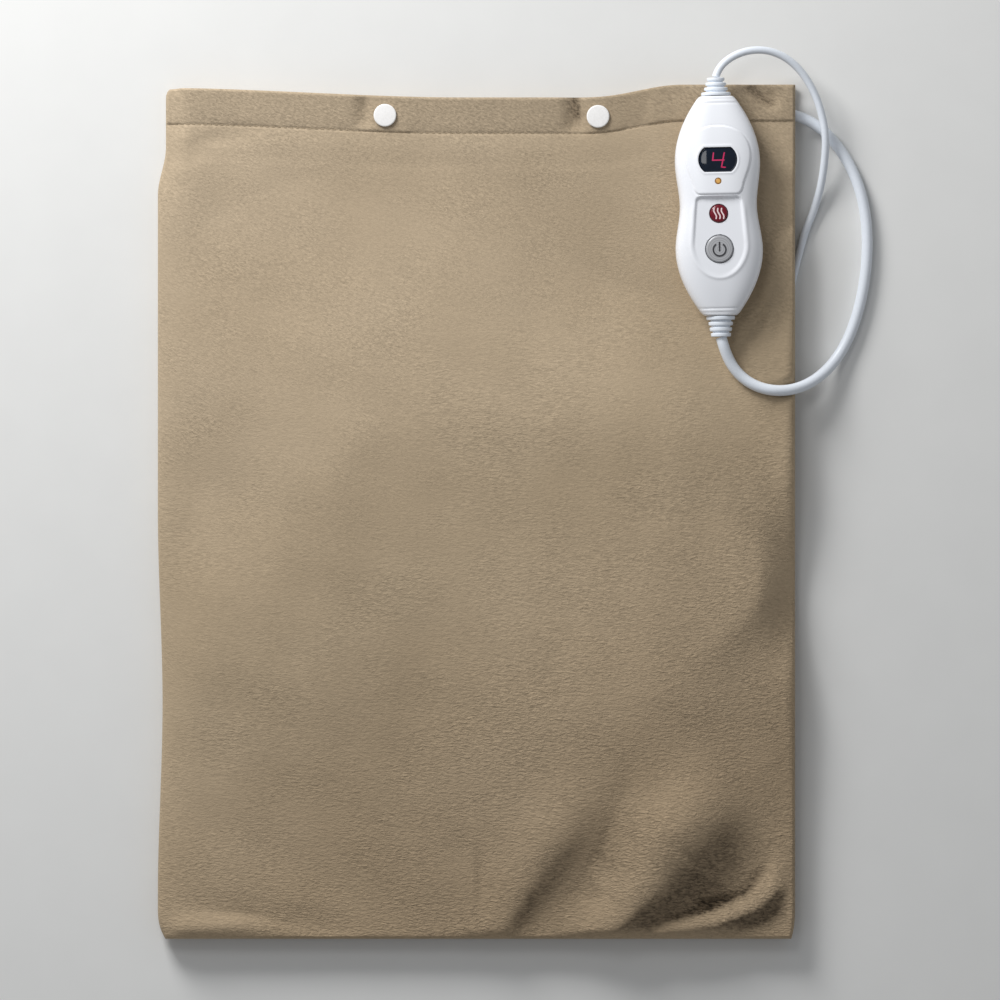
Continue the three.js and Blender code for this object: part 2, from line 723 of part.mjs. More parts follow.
const [jointX, jointY] = drawnIn(JOINT_X, JOINT_Y);
const jointZ = middleAt(JOINT_X, HALF_LENGTH);
const jointHalf = JOINT_THICK / 2;
const joint = slab(JOINT_LENGTH, JOINT_WIDTH, jointZ - jointHalf, jointZ + jointHalf);
add("lead_junction_block", joint.translate(jointX, jointY, 0), WHITE_CORD);

studPlaces.forEach(({ px, py, middle }, i) => {
  const side = ["left", "right"][i];
  const front = middle + STUD_SPACE / 2;
  const back = middle - STUD_SPACE / 2;
  const cap = STUD_CAP_DIAMETER / 2;
  const pin = STUD_PIN_DIAMETER / 2;
  const body = STUD_BODY_DIAMETER / 2;
  const knob = STUD_KNOB_DIAMETER / 2;
  const faceTop = front + HEM_CLOTH + SEAT;
  const faceBack = back - HEM_CLOTH - SEAT;
  const frontCap = turned(
    [
      [0, front - SEAT],
      [pin, front - SEAT],
      [pin, faceTop],
      [cap, faceTop],
      [cap, faceTop + STUD_CAP * STUD_CAP_WALL],
      [cap * STUD_CAP_FACE, faceTop + STUD_CAP],
      [0, faceTop + STUD_CAP],
    ],
    20,
  );
  const backCap = turned(
    [
      [0, faceBack - STUD_CAP],
      [cap, faceBack - STUD_CAP],
      [cap, faceBack],
      [pin, faceBack],
      [pin, back + SEAT],
      [0, back + SEAT],
    ],
    14,
  );
  const base = back + 2 * SEAT;
  const stud = turned(
    [
      [0, base],
      [body, base],
      [body, base + STUD_BASE],
      [knob, base + STUD_BASE],
      [knob, base + STUD_BASE + STUD_KNOB],
      [0, base + STUD_BASE + STUD_KNOB],
    ],
    12,
  );
  const socket = ring(knob + SEAT, body, front - SEAT - STUD_SOCKET, front - SEAT, 12);
  add(`snap_cap_${side}`, frontCap.translate(px, py, 0), WHITE_STUD);
  add(`snap_socket_${side}`, socket.translate(px, py, 0), WHITE_STUD);
  add(`snap_stud_${side}`, stud.translate(px, py, 0), WHITE_STUD);
  add(`snap_back_cap_${side}`, backCap.translate(px, py, 0), WHITE_STUD);
});

// Controller. It rests on the highest part of the pad under it.

function restHeight() {
  const heights = [];
  for (let x = -LOWER_LOBE / 2; x <= LOWER_LOBE / 2; x += LOWER_LOBE / 8) {
    for (let y = -HOUSING_HALF; y <= HOUSING_HALF; y += HOUSING_LENGTH / 20) {
      heights.push(onLattice(frontTopAt, HOUSING_AT[0] + x, HOUSING_AT[1] + y));
    }
  }
  return Math.max(...heights) + SEAT;
}

const controller = new THREE.Group();
controller.name = "controller";
controller.position.set(...HOUSING_AT, restHeight());
controller.rotation.z = degToRad(HOUSING_TURN);
controller.updateMatrixWorld(true);
pieces.add(controller);
const addInside = (name, geometry, material) => add(name, geometry, material, controller);

// Half width of the hourglass outline at a place along the housing.
const OUTLINE = [
  [-HOUSING_HALF, END_WIDTH / 2, END_SLOPE],
  [-LOBE_AT, LOWER_LOBE / 2, 0],
  [0, WAIST / 2, 0],
  [LOBE_AT, UPPER_LOBE / 2, 0],
  [HOUSING_HALF, END_WIDTH / 2, -END_SLOPE],
];

function halfWidthAt(y) {
  const next = clamp(OUTLINE.findIndex(([at]) => at >= y), 1, OUTLINE.length - 1);
  const [y0, w0, slope0] = OUTLINE[next - 1];
  const [y1, w1, slope1] = OUTLINE[next];
  const span = y1 - y0;
  const t = (y - y0) / span;
  const s = 1 - t;
  const ends = w0 * s * s * (1 + 2 * t) + w1 * t * t * (1 + 2 * s);
  return ends + span * s * t * (slope0 * s - slope1 * t);
}

function rounded(value, power) {
  return Math.sign(value) * Math.abs(value) ** (2 / power);
}

// One half of the housing as a loft, drawn in by an inset; up is 1 for the top and -1 for the bottom.
function halfShell(up, inset, endInset, raise = 0) {
  const [stations, points] = inset > 0 ? INSIDE_MESH : OUTSIDE_MESH;
  const end = HOUSING_HALF - endInset;
  const power = up > 0 ? TOP_ROUNDING : BOTTOM_ROUNDING;
  const rings = [];
  for (let station = 0; station <= stations; station += 1) {
    const y = end * Math.sin((Math.PI / 2) * ((2 * station) / stations - 1));
    const share = Math.abs(y) / HOUSING_HALF;
    const crown = END_CROWN + (CROWN - END_CROWN) * (1 - share ** CROWN_POWER);
    const belly = END_BELLY + (BELLY - END_BELLY) * (1 - share ** BELLY_POWER);
    const height = (up > 0 ? crown : belly) - inset + raise;
    const width = halfWidthAt(y) - inset;
    rings.push(
      Array.from({ length: points + 1 }, (_, k) => {
        const angle = (Math.PI * k) / points;
        const x = width * rounded(Math.cos(angle), power);
        const rise = k % points === 0 ? 0 : height * rounded(Math.sin(angle), power);
        return new THREE.Vector3(x, y, PARTING + up * rise);
      }),
    );
  }
  return loft(rings);
}

function panelShape() {
  const half = PANEL_WIDTH / 2;
  const foot = PANEL_FOOT_WIDTH / 2;
  const shape = new THREE.Shape();
  shape.moveTo(0, PANEL_TOP);
  const shoulder = PANEL_WIDEST + PANEL_SHOULDER;
  const flank = PANEL_WIDEST - PANEL_FLANK;
  const knee = PANEL_BOTTOM + PANEL_SHOULDER;
  shape.bezierCurveTo(-half * ARCH, PANEL_TOP, -half, shoulder, -half, PANEL_WIDEST);
  shape.bezierCurveTo(-half, flank, -foot - 1, knee, -foot, PANEL_BOTTOM + CORNER);
  shape.quadraticCurveTo(-foot + ARCH, PANEL_BOTTOM, -foot + CORNER, PANEL_BOTTOM);
  shape.lineTo(foot - CORNER, PANEL_BOTTOM);
  shape.quadraticCurveTo(foot - ARCH, PANEL_BOTTOM, foot, PANEL_BOTTOM + CORNER);
  shape.bezierCurveTo(foot + 1, knee, half, flank, half, PANEL_WIDEST);
  shape.bezierCurveTo(half, shoulder, half * ARCH, PANEL_TOP, 0, PANEL_TOP);
  return shape;
}

function keypadShape() {
  const half = KEYPAD_WIDTH / 2;
  const head = KEYPAD_HEAD_WIDTH / 2;
  const shoulder = KEYPAD_WIDEST - KEYPAD_SHOULDER;
  const shape = new THREE.Shape();
  shape.moveTo(0, KEYPAD_BOTTOM);
  shape.bezierCurveTo(half * ARCH, KEYPAD_BOTTOM, half, shoulder, half, KEYPAD_WIDEST);
  shape.lineTo(head, KEYPAD_TOP - CORNER);
  shape.quadraticCurveTo(head, KEYPAD_TOP, head - CORNER, KEYPAD_TOP);
  shape.lineTo(CORNER - head, KEYPAD_TOP);
  shape.quadraticCurveTo(-head, KEYPAD_TOP, -head, KEYPAD_TOP - CORNER);
  shape.lineTo(-half, KEYPAD_WIDEST);
  shape.bezierCurveTo(-half, shoulder, -half * ARCH, KEYPAD_BOTTOM, 0, KEYPAD_BOTTOM);
  return shape;
}

// Flat above and below, with bowed ends; grown outwards on every side.
function windowShape(grow) {
  const flat = WINDOW_FLAT / 2;
  const high = WINDOW_HEIGHT / 2;
  const bow = WINDOW_WIDTH / 2 - flat;
  const radius = (high * high + bow * bow) / (2 * bow) + grow;
  const centre = WINDOW_WIDTH / 2 + grow - radius;
  const sweep = Math.asin((high + grow) / radius);
  const shape = new THREE.Shape();
  shape.absarc(centre, WINDOW_AT, radius, -sweep, sweep, false);
  shape.absarc(-centre, WINDOW_AT, radius, Math.PI - sweep, Math.PI + sweep, false);
  return shape;
}

const reliefHole = (end) => {
  const hole = rod(RELIEF_NECK + SEAT, 0, END_WALL + 2, 16).scale(1, RELIEF_FLAT, 1).rotateX(-Math.PI / 2);
  return hole.rotateZ(end > 0 ? 0 : Math.PI).translate(0, end * (HOUSING_HALF - END_WALL - 1), PARTING);
};
const reliefHoles = [reliefHole(1), reliefHole(-1)];

function upperShell() {
  const crown = halfShell(1, 0, 0);
  const raised = common(prism(panelShape(), PARTING + END_CROWN, FAR_UP), halfShell(1, 0, 0, PANEL_RISE));
  const inside = common(halfShell(1, WALL, END_WALL), slab(PAD_WIDTH, PAD_WIDTH, 0, CEILING));
  const room = [WINDOW_WIDTH + 2 * DISPLAY_MARGIN, WINDOW_HEIGHT + 2 * DISPLAY_MARGIN];
  const displayRoom = slab(...room, PARTING, DISPLAY_CEILING).translate(0, WINDOW_AT, 0);
  const holes = [
    prism(keypadShape(), KEYPAD_FLOOR, FAR_UP),
    prism(windowShape(SEAT), PARTING, FAR_UP),
    rod(LIGHT_DIAMETER / 2 + SEAT, PARTING, FAR_UP, 16).translate(0, LIGHT_AT, 0),
    rod(HEAT_DIAMETER / 2 + BUTTON_CLEARANCE, PARTING, FAR_UP, 24).translate(0, HEAT_AT, 0),
    rod(POWER_DIAMETER / 2 + BUTTON_CLEARANCE, PARTING, FAR_UP, 24).translate(0, POWER_AT, 0),
  ];
  const shell = cut(joined(crown, raised), inside, displayRoom, ...holes);
  const bosses = SCREW_AT.map(([x, y]) => {
    const boss = rod(BOSS_RADIUS, PARTING + SEAT / 2, FAR_UP, 10).translate(x, y, 0);
    return common(boss, halfShell(1, WALL / 2, END_WALL));
  });
  const pilot = rod(SCREW_RADIUS + SEAT / 2, 0, SCREW_END + SEAT, 8);
  const pilots = SCREW_AT.map(([x, y]) => pilot.clone().translate(x, y, 0));
  const parting = slab(PAD_WIDTH, PAD_WIDTH, PARTING - 1, PARTING + SEAT / 2);
  return cut(joined(shell, ...bosses), ...pilots, ...reliefHoles, parting);
}

function lowerShell() {
  const outside = common(halfShell(-1, 0, 0), slab(PAD_WIDTH, PAD_WIDTH, 0, PARTING - SEAT / 2));
  const inside = common(halfShell(-1, WALL, END_WALL), slab(PAD_WIDTH, PAD_WIDTH, WALL, FAR_UP));
  const shell = cut(outside, inside);
  const boss = rod(BOSS_RADIUS, WALL / 2, PARTING - SEAT / 2, 10);
  const bosses = SCREW_AT.map(([x, y]) => boss.clone().translate(x, y, 0));
  const post = rod(POST_RADIUS, WALL / 2, BOARD_UNDERSIDE - SEAT, 6);
  const postX = BOARD_WIDTH / 2 - POST_INSET[0];
  const posts = [BOARD_TOP_END - POST_INSET[1], BOARD_BOTTOM_END + POST_INSET[1]].flatMap((y) =>
    [-postX, postX].map((x) => post.clone().translate(x, y, 0)),
  );
  const bores = SCREW_AT.flatMap(([x, y]) => [
    rod(SCREW_RADIUS + SEAT, -1, FAR_UP, 8).translate(x, y, 0),
    rod(SCREW_HEAD_RADIUS + SEAT, -1, SCREW_SUNK + SCREW_HEAD + SEAT, 10).translate(x, y, 0),
  ]);
  return cut(joined(shell, ...bosses, ...posts), ...bores, ...reliefHoles);
}

addInside("upper_shell", upperShell(), WHITE_CASE);
addInside("lower_shell", lowerShell(), WHITE_CASE);

SCREW_AT.forEach(([x, y], i) => {
  const head = SCREW_SUNK + SCREW_HEAD;
  const screw = turned(
    [
      [0, SCREW_SUNK],
      [SCREW_HEAD_RADIUS, SCREW_SUNK],
      [SCREW_HEAD_RADIUS, head],
      [SCREW_RADIUS, head],
      [SCREW_RADIUS, SCREW_END - 1],
      [0, SCREW_END],
    ],
    8,
  );
  addInside(`housing_screw_${i + 1}`, screw.translate(x, y, 0), STEEL);
});

const lensBottom = DISPLAY_CEILING - SEAT - WINDOW_LIP;
const lensBody = common(prism(windowShape(0), lensBottom, FAR_UP), halfShell(1, 0, 0, PANEL_RISE - SEAT));
const lensLip = prism(windowShape(WINDOW_LIP), lensBottom, lensBottom + WINDOW_LIP);
addInside("display_window", joined(lensBody, lensLip), DARK_WINDOW);
const displayModule = slab(...DISPLAY_MODULE, PARTS_Z, lensBottom - SEAT);
addInside("display_module", displayModule.translate(0, WINDOW_AT, 0), BLACK_PLASTIC);

const faceAtLight = PARTING + CROWN + PANEL_RISE;
const lightRadius = LIGHT_DIAMETER / 2;
const [ledWidth, ledLength, ledHeight] = LED_SIZE;
const pipeFoot = PARTS_Z + ledHeight + SEAT;
const lightPipe = turned(
  [
    [0, pipeFoot],
    [lightRadius, pipeFoot],
    [lightRadius, faceAtLight - SEAT],
    [lightRadius - 0.5, faceAtLight],
    [0, faceAtLight],
  ],
  16,
);
addInside("light_pipe", lightPipe.translate(0, LIGHT_AT, 0), AMBER);
const led = slab(ledWidth, ledLength, PARTS_Z, PARTS_Z + ledHeight);
addInside("indicator_led", led.translate(0, LIGHT_AT, 0), AMBER);

function buttonAndSwitch(name, y, diameter, proud, material) {
  const plungerBottom = PARTS_Z + SWITCH_HEIGHT - PLUNGER_SUNK;
  const plungerTop = plungerBottom + PLUNGER_LENGTH;
  const radius = diameter / 2;
  const face = KEYPAD_FLOOR + proud;
  const flange = CEILING - SEAT - BUTTON_FLANGE_THICK;
  const button = turned(
    [
      [0, plungerTop + SEAT],
      [BUTTON_STEM_RADIUS, plungerTop + SEAT],
      [BUTTON_STEM_RADIUS, flange],
      [radius + BUTTON_FLANGE, flange],
      [radius + BUTTON_FLANGE, flange + BUTTON_FLANGE_THICK],
      [radius, flange + BUTTON_FLANGE_THICK],
      [radius, face - BUTTON_BEVEL],
      [radius - BUTTON_BEVEL, face],
      [0, face + BUTTON_DOME],
    ],
    24,
  );
  const body = slab(SWITCH_SIZE, SWITCH_SIZE, PARTS_Z, PARTS_Z + SWITCH_HEIGHT);
  const well = rod(PLUNGER_RADIUS + SEAT, plungerBottom - BUTTON_TRAVEL - SEAT, FAR_UP, 12);
  addInside(`${name}_button`, button.translate(0, y, 0), material);
  addInside(`${name}_switch_body`, cut(body, well).translate(0, y, 0), BLACK_PLASTIC);
  const plunger = rod(PLUNGER_RADIUS, plungerBottom, plungerTop);
  addInside(`${name}_switch_plunger`, plunger.translate(0, y, 0), BLACK_PLASTIC);
}
buttonAndSwitch("heat", HEAT_AT, HEAT_DIAMETER, HEAT_PROUD, RED_KEY);
buttonAndSwitch("power", POWER_AT, POWER_DIAMETER, POWER_PROUD, GREY_KEY);

const boardLength = BOARD_TOP_END - BOARD_BOTTOM_END;
const board = slab(BOARD_WIDTH, boardLength, BOARD_UNDERSIDE, BOARD_TOP);
addInside("circuit_board", board.translate(0, BOARD_BOTTOM_END + boardLength / 2, 0), BOARD_GREEN);

function onBoard(name, [width, length, height], y, material, x = 0) {
  addInside(name, slab(width, length, PARTS_Z, PARTS_Z + height).translate(x, y, 0), material);
}
onBoard("control_chip", CHIP_SIZE, CHIP_AT, BLACK_PLASTIC);
const betweenKeys = (HEAT_AT + POWER_AT) / 2;
onBoard("triac", TRIAC_SIZE, betweenKeys, BLACK_PLASTIC);
const capacitorX = (DISPLAY_MODULE[0] + CAPACITOR_SIZE[0]) / 2 + SIDE_GAP;
onBoard("film_capacitor", CAPACITOR_SIZE, WINDOW_AT, YELLOW_PLASTIC, capacitorX);
onBoard("mains_terminal", MAINS_TERMINAL_SIZE, BOARD_TOP_END - TERMINAL_LENGTH / 2, GREEN_PLASTIC);
onBoard("pad_terminal", PAD_TERMINAL_SIZE, BOARD_BOTTOM_END + TERMINAL_LENGTH / 2, GREEN_PLASTIC);
const fuse = rod(FUSE_RADIUS, -FUSE_LENGTH / 2, FUSE_LENGTH / 2).rotateX(Math.PI / 2);
const fuseX = TRIAC_SIZE[0] / 2 + SIDE_GAP + FUSE_RADIUS;
addInside("board_fuse", fuse.translate(fuseX, betweenKeys, PARTS_Z + FUSE_RADIUS), STEEL);

// Strain reliefs: a flange inside the end wall, a neck through it, and ribs outside.
function reliefProfile(ribs, pitch) {
  const flangeStart = -END_WALL - SEAT - RELIEF_FLANGE_THICK;
  const profile = [
    [0, flangeStart],
    [RELIEF_FLANGE, flangeStart],
    [RELIEF_FLANGE, flangeStart + RELIEF_FLANGE_THICK],
    [RELIEF_NECK, flangeStart + RELIEF_FLANGE_THICK],
    [RELIEF_NECK, SEAT],
  ];
  ribs.forEach((radius, i) => {
    const start = SEAT + i * pitch;
    profile.push([radius, start], [radius, start + pitch * RIB_SHARE]);
    if (i + 1 < ribs.length) {
      const groove = ribs[i + 1] - RIB_GROOVE;
      profile.push([groove, start + pitch * RIB_SHARE], [groove, start + pitch]);
    }
  });
  profile.push([0, profile[profile.length - 1][1]]);
  return profile;
}

function relief(ribs, pitch, end) {
  const body = turned(reliefProfile(ribs, pitch), 16).scale(1, RELIEF_FLAT, 1).rotateX(-Math.PI / 2);
  return body.rotateZ(end > 0 ? 0 : Math.PI).translate(0, end * HOUSING_HALF, PARTING);
}

function reliefReach(ribs, pitch) {
  const profile = reliefProfile(ribs, pitch);
  return profile[profile.length - 1][1];
}

addInside("mains_strain_relief", relief(MAINS_RIBS, MAINS_RIB_PITCH, 1), WHITE_CORD);
addInside("pad_strain_relief", relief(PAD_RIBS, PAD_RIB_PITCH, -1), WHITE_CORD);

const coreStart = HOUSING_HALF - END_WALL - 2 * SEAT - RELIEF_FLANGE_THICK;
function leadCores(name, end, boardEnd) {
  [-1, 1].forEach((side, i) => {
    const length = coreStart - Math.abs(boardEnd) - SEAT;
    const core = rod(CORE_RADIUS, 0, length, 8).rotateX(Math.PI / 2);
    const from = end > 0 ? coreStart : length - coreStart;
    const x = (side * CORE_SPACING) / 2;
    addInside(`${name}_core_${i + 1}`, core.translate(x, from, PARTING + CORE_RISE), BRASS);
  });
}
leadCores("mains", 1, BOARD_TOP_END);
leadCores("pad", -1, BOARD_BOTTOM_END);

// Leads.

function fromController(x, y, z) {
  return controller.localToWorld(new THREE.Vector3(x, y, z));
}
const route = (list) => list.map((point) => new THREE.Vector3(...point));
const fromCornerRoute = (list) => route(fromCorner(list));
const LEAD_STRAIGHT = 3;
const mainsTip = HOUSING_HALF + reliefReach(MAINS_RIBS, MAINS_RIB_PITCH) + SEAT;
const padTip = HOUSING_HALF + reliefReach(PAD_RIBS, PAD_RIB_PITCH) + SEAT;
const onFloor = MAINS_LEAD_DIAMETER / 2 + FLOOR_GAP;

// The slim mains lead arches off the controller's top end, over the pad lead, and in under the pad.
const mainsRoute = [
  fromController(0, mainsTip, PARTING),
  fromController(0, mainsTip + LEAD_STRAIGHT, PARTING),
  ...fromCornerRoute([
    [-30.4, 13.2, 21],
    [-23.2, 17.6, 20],
    [-13.6, 18.2, 18.4],
    [-4.6, 14.8, 16.4],
    [2.6, 8, 14.4],
    [8.6, -1.4, 12.6],
    [12.4, -12, 11.4],
    [14.2, -23, 10.4],
    [13.8, -34, 8],
    [12, -46, 4.8],
    [8.8, -57, 2.4],
    [4.6, -68, onFloor],
  ]),
  ...route(UNDER_PAD.slice(1, -1).map(([x, y]) => [x, y, onFloor])),
  ...route(UNDER_PAD.slice(-1).map(([x, y]) => [x, y, COIL_LOW])),
  new THREE.Vector3(COIL_AT[0] + COIL_LEAD_IN + SEAT, COIL_AT[1] + COIL_OUTER, COIL_LOW),
];
add("mains_lead", cord(mainsRoute, MAINS_LEAD_DIAMETER, 38, 8), WHITE_CORD);

// The pad lead loops from the controller's bottom end over the pad's edge and into its top corner.
const padRoute = [
  fromController(0, -padTip, PARTING),
  fromController(0, -padTip - LEAD_STRAIGHT, PARTING),
  ...fromCornerRoute([
    [-31.4, -129, 20.2],
    [-25.8, -135.6, 18.8],
    [-18.4, -140, 18.6],
    [-9.8, -142.2, 18.2],
    [-1.4, -141.4, 15.6],
    [6.6, -138.2, 11.4],
    [14.6, -132.4, 7],
    [21.6, -124, 3.8],
    [27.6, -111, 2.9],
    [31.2, -98, 2.9],
    [33.6, -83, 2.9],
    [33.8, -66, 2.9],
    [31.6, -51, 2.9],
    [26.6, -37, 2.9],
    [20.4, -27.8, 3.1],
    [13.2, -19.4, 3.8],
    [5, -13.4, 5],
  ]),
  new THREE.Vector3(...drawnIn(HALF_WIDTH - LEAD_ENTRY[0], jointY + 1), jointZ),
  new THREE.Vector3(HALF_WIDTH - LEAD_ENTRY[1], jointY, jointZ),
  new THREE.Vector3(jointX + JOINT_LENGTH / 2 + SEAT, jointY, jointZ),
];
add("pad_lead", cord(padRoute, PAD_LEAD_DIAMETER, 40, 10), WHITE_CORD);

// The coil spirals in along the surface, climbs a layer in a half turn, and spirals out on top.
function coilPoints() {
  const [cx, cy] = COIL_AT;
  const total = 2 * COIL_TURNS + 0.5;
  const count = Math.round(total * COIL_STEPS);
  const points = [new THREE.Vector3(cx + COIL_LEAD_IN, cy + COIL_OUTER, COIL_LOW)];
  for (let k = 0; k <= count; k += 1) {
    const turns = (total * k) / count;
    const inward = Math.min(turns, COIL_TURNS);
    const climb = clamp((turns - COIL_TURNS) * 2, 0, 1);
    const outward = Math.max(turns - COIL_TURNS - 0.5, 0);
    const radius = COIL_OUTER - COIL_PITCH * (inward - outward);
    const angle = Math.PI / 2 + 2 * Math.PI * turns;
    const [x, y] = [cx + radius * Math.cos(angle), cy + radius * Math.sin(angle)];
    points.push(new THREE.Vector3(x, y, COIL_LOW + COIL_LAYER * climb));
  }
  points.push(new THREE.Vector3(cx - COIL_LEAD_IN, cy + COIL_OUTER, COIL_HIGH));
  return points;
}

function leastGap(points, diameter, skip) {
  const fine = points.flatMap((point, i) =>
    i + 1 < points.length ? [0, 0.25, 0.5, 0.75].map((t) => point.clone().lerp(points[i + 1], t)) : [point],
  );
  let least = Infinity;
  for (let i = 0; i < fine.length; i += 1) {
    for (let j = i + 4 * skip; j < fine.length; j += 1) {
      least = Math.min(least, fine[i].distanceTo(fine[j]));
    }
  }
  return least - diameter;
}

const coil = coilPoints();
add("mains_lead_coil", woundTube(coil, MAINS_LEAD_DIAMETER / 2, 5), WHITE_CORD);
const coilGap = leastGap(coil, MAINS_LEAD_DIAMETER, COIL_STEPS / 2);
console.log(`coil: least gap between turns ${coilGap.toFixed(2)} mm`);

const tail = [
  new THREE.Vector3(COIL_AT[0] - COIL_LEAD_IN - SEAT, PLUG_Y, COIL_HIGH),
  new THREE.Vector3(COIL_AT[0] - TAIL_LENGTH / 2, PLUG_Y, (COIL_HIGH + PLUG_Z) / 2),
  new THREE.Vector3(PLUG_END_X + SEAT, PLUG_Y, PLUG_Z),
];
add("mains_lead_tail", cord(tail, MAINS_LEAD_DIAMETER, 4, 8), WHITE_CORD);

const bundle = MAINS_LEAD_DIAMETER / 2 + SEAT;
const tieLoop = new THREE.Shape();
tieLoop.moveTo(COIL_INNER - bundle - TIE_SLACK - TIE_BAND, FLOOR_GAP);
tieLoop.lineTo(COIL_OUTER + bundle + TIE_SLACK + TIE_BAND, FLOOR_GAP);
tieLoop.lineTo(COIL_OUTER + bundle + TIE_SLACK + TIE_BAND, TIE_TOP);
tieLoop.lineTo(COIL_INNER - bundle - TIE_SLACK - TIE_BAND, TIE_TOP);
const tieOpening = new THREE.Path();
tieOpening.moveTo(COIL_INNER - bundle - TIE_SLACK, FLOOR_GAP + TIE_BAND);
tieOpening.lineTo(COIL_INNER - bundle - TIE_SLACK, TIE_TOP - TIE_BAND);
tieOpening.lineTo(COIL_OUTER + bundle + TIE_SLACK, TIE_TOP - TIE_BAND);
tieOpening.lineTo(COIL_OUTER + bundle + TIE_SLACK, FLOOR_GAP + TIE_BAND);
tieLoop.holes.push(tieOpening);
const tie = prism(tieLoop, -TIE_WIDTH / 2, TIE_WIDTH / 2).rotateX(Math.PI / 2);
add("cord_tie", tie.translate(...COIL_AT, 0), BLACK_PLASTIC);

// Plug, made with its face at the origin and its body along +Y, then laid pointing away from the coil.
const plugHalf = PLUG_WIDTH / 2;
const plugTail = PLUG_TAIL_WIDTH / 2;
const plugOutline = new THREE.Shape();
plugOutline.moveTo(-plugHalf, 0);
plugOutline.lineTo(plugHalf, 0);
plugOutline.lineTo(plugHalf, PLUG_LENGTH * PLUG_SHOULDER);
plugOutline.lineTo(plugTail, PLUG_LENGTH);
plugOutline.lineTo(-plugTail, PLUG_LENGTH);
plugOutline.lineTo(-plugHalf, PLUG_LENGTH * PLUG_SHOULDER);
const plugBody = prism(plugOutline, FLOOR_GAP, FLOOR_GAP + PLUG_THICK);
const socketOf = (x) => {
  const bore = rod(PIN_CORE_RADIUS + SEAT, -1, PIN_ROOT + 1, 10).rotateX(-Math.PI / 2);
  return bore.translate(x, 0, PLUG_Z);
};
const pinPlaces = [-PIN_SPACING / 2, PIN_SPACING / 2];
const layPlug = (geometry) => geometry.rotateZ(-Math.PI / 2).translate(PLUG_FACE_X, PLUG_Y, 0);
add("plug_body", layPlug(cut(plugBody, ...pinPlaces.map(socketOf))), WHITE_CORD);

const reliefRoot = plugTail * 0.8;
const plugRelief = turned(
  [[0, SEAT], [reliefRoot, SEAT], [MAINS_LEAD_DIAMETER, PLUG_RELIEF], [0, PLUG_RELIEF]],
  14,
).rotateX(-Math.PI / 2);
add("plug_strain_relief", layPlug(plugRelief.translate(0, PLUG_LENGTH, PLUG_Z)), WHITE_CORD);

pinPlaces.forEach((x, i) => {
  const pinRadius = PIN_DIAMETER / 2;
  const pin = turned(
    [
      [0, -PIN_ROOT],
      [PIN_CORE_RADIUS, -PIN_ROOT],
      [PIN_CORE_RADIUS, PIN_SLEEVE],
      [pinRadius, PIN_SLEEVE],
      [pinRadius, PIN_LENGTH - 1],
      [pinRadius / 2, PIN_LENGTH],
      [0, PIN_LENGTH],
    ],
    12,
  );
  const sleeve = ring(PIN_CORE_RADIUS + SEAT, pinRadius, SEAT, PIN_SLEEVE - SEAT, 12);
  const inFace = (geometry) => geometry.rotateX(Math.PI / 2).translate(x, 0, PLUG_Z);
  add(`plug_pin_${i + 1}`, layPlug(inFace(pin)), BRASS);
  add(`plug_pin_sleeve_${i + 1}`, layPlug(inFace(sleeve)), BLACK_PLASTIC);
});

export default pieces;
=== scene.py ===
import json
import math

import bpy
import numpy as np
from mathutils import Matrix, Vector


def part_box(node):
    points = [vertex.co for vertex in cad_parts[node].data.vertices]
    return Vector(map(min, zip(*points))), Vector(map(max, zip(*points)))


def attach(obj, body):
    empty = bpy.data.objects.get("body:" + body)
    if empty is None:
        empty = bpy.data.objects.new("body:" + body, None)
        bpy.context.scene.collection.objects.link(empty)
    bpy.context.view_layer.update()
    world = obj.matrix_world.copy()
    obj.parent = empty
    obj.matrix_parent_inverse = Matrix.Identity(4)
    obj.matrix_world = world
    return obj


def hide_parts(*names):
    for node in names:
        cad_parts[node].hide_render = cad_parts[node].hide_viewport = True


# Looks of a heating pad and its hand controller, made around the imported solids.
# Sizes are in millimetres until an object is made, which takes metres.
# +X is the pad's right, +Y its hemmed top edge, +Z up from the surface that it lies on.

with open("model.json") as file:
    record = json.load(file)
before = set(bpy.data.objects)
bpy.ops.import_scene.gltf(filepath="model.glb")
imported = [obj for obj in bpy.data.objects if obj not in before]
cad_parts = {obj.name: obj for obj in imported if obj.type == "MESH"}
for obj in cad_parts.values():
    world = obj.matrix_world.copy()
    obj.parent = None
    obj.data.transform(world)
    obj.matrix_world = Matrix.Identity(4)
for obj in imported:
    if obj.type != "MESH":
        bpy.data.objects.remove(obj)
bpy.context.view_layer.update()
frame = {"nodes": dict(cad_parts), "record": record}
nodes = frame["nodes"]
scene = bpy.context.scene
scene.view_settings.view_transform = "Standard"

MM = 0.001
PAD = "pad_and_housing"
SEAT = 0.3  # gap that is left where one piece sits in another

# Camera: straight above, through a long lens.
VIEW_CENTRE = (11.1, 6.6)
VIEW_WIDTH = 470.5
VIEW_LEVEL = 10
VIEW_DISTANCE = 6000
SENSOR = 36


def add_object(name, data):
    obj = bpy.data.objects.new(name, data)
    scene.collection.objects.link(obj)
    return obj


def make_camera():
    data = bpy.data.cameras.new("camera")
    data.sensor_width = SENSOR
    data.lens = SENSOR * VIEW_DISTANCE / VIEW_WIDTH
    data.clip_end = 20
    scene.camera = add_object("camera", data)
    scene.camera.location = [c * MM for c in (*VIEW_CENTRE, VIEW_LEVEL + VIEW_DISTANCE)]


make_camera()


# Materials.

def rgb(red, green, blue):
    """An sRGB colour of 0 to 255 in linear values."""
    def linear(value):
        value /= 255
        return value / 12.92 if value <= 0.04045 else ((value + 0.055) / 1.055) ** 2.4

    return (linear(red), linear(green), linear(blue), 1)


def grey(value):
    return (value, value, value, 1)


finishes = {}


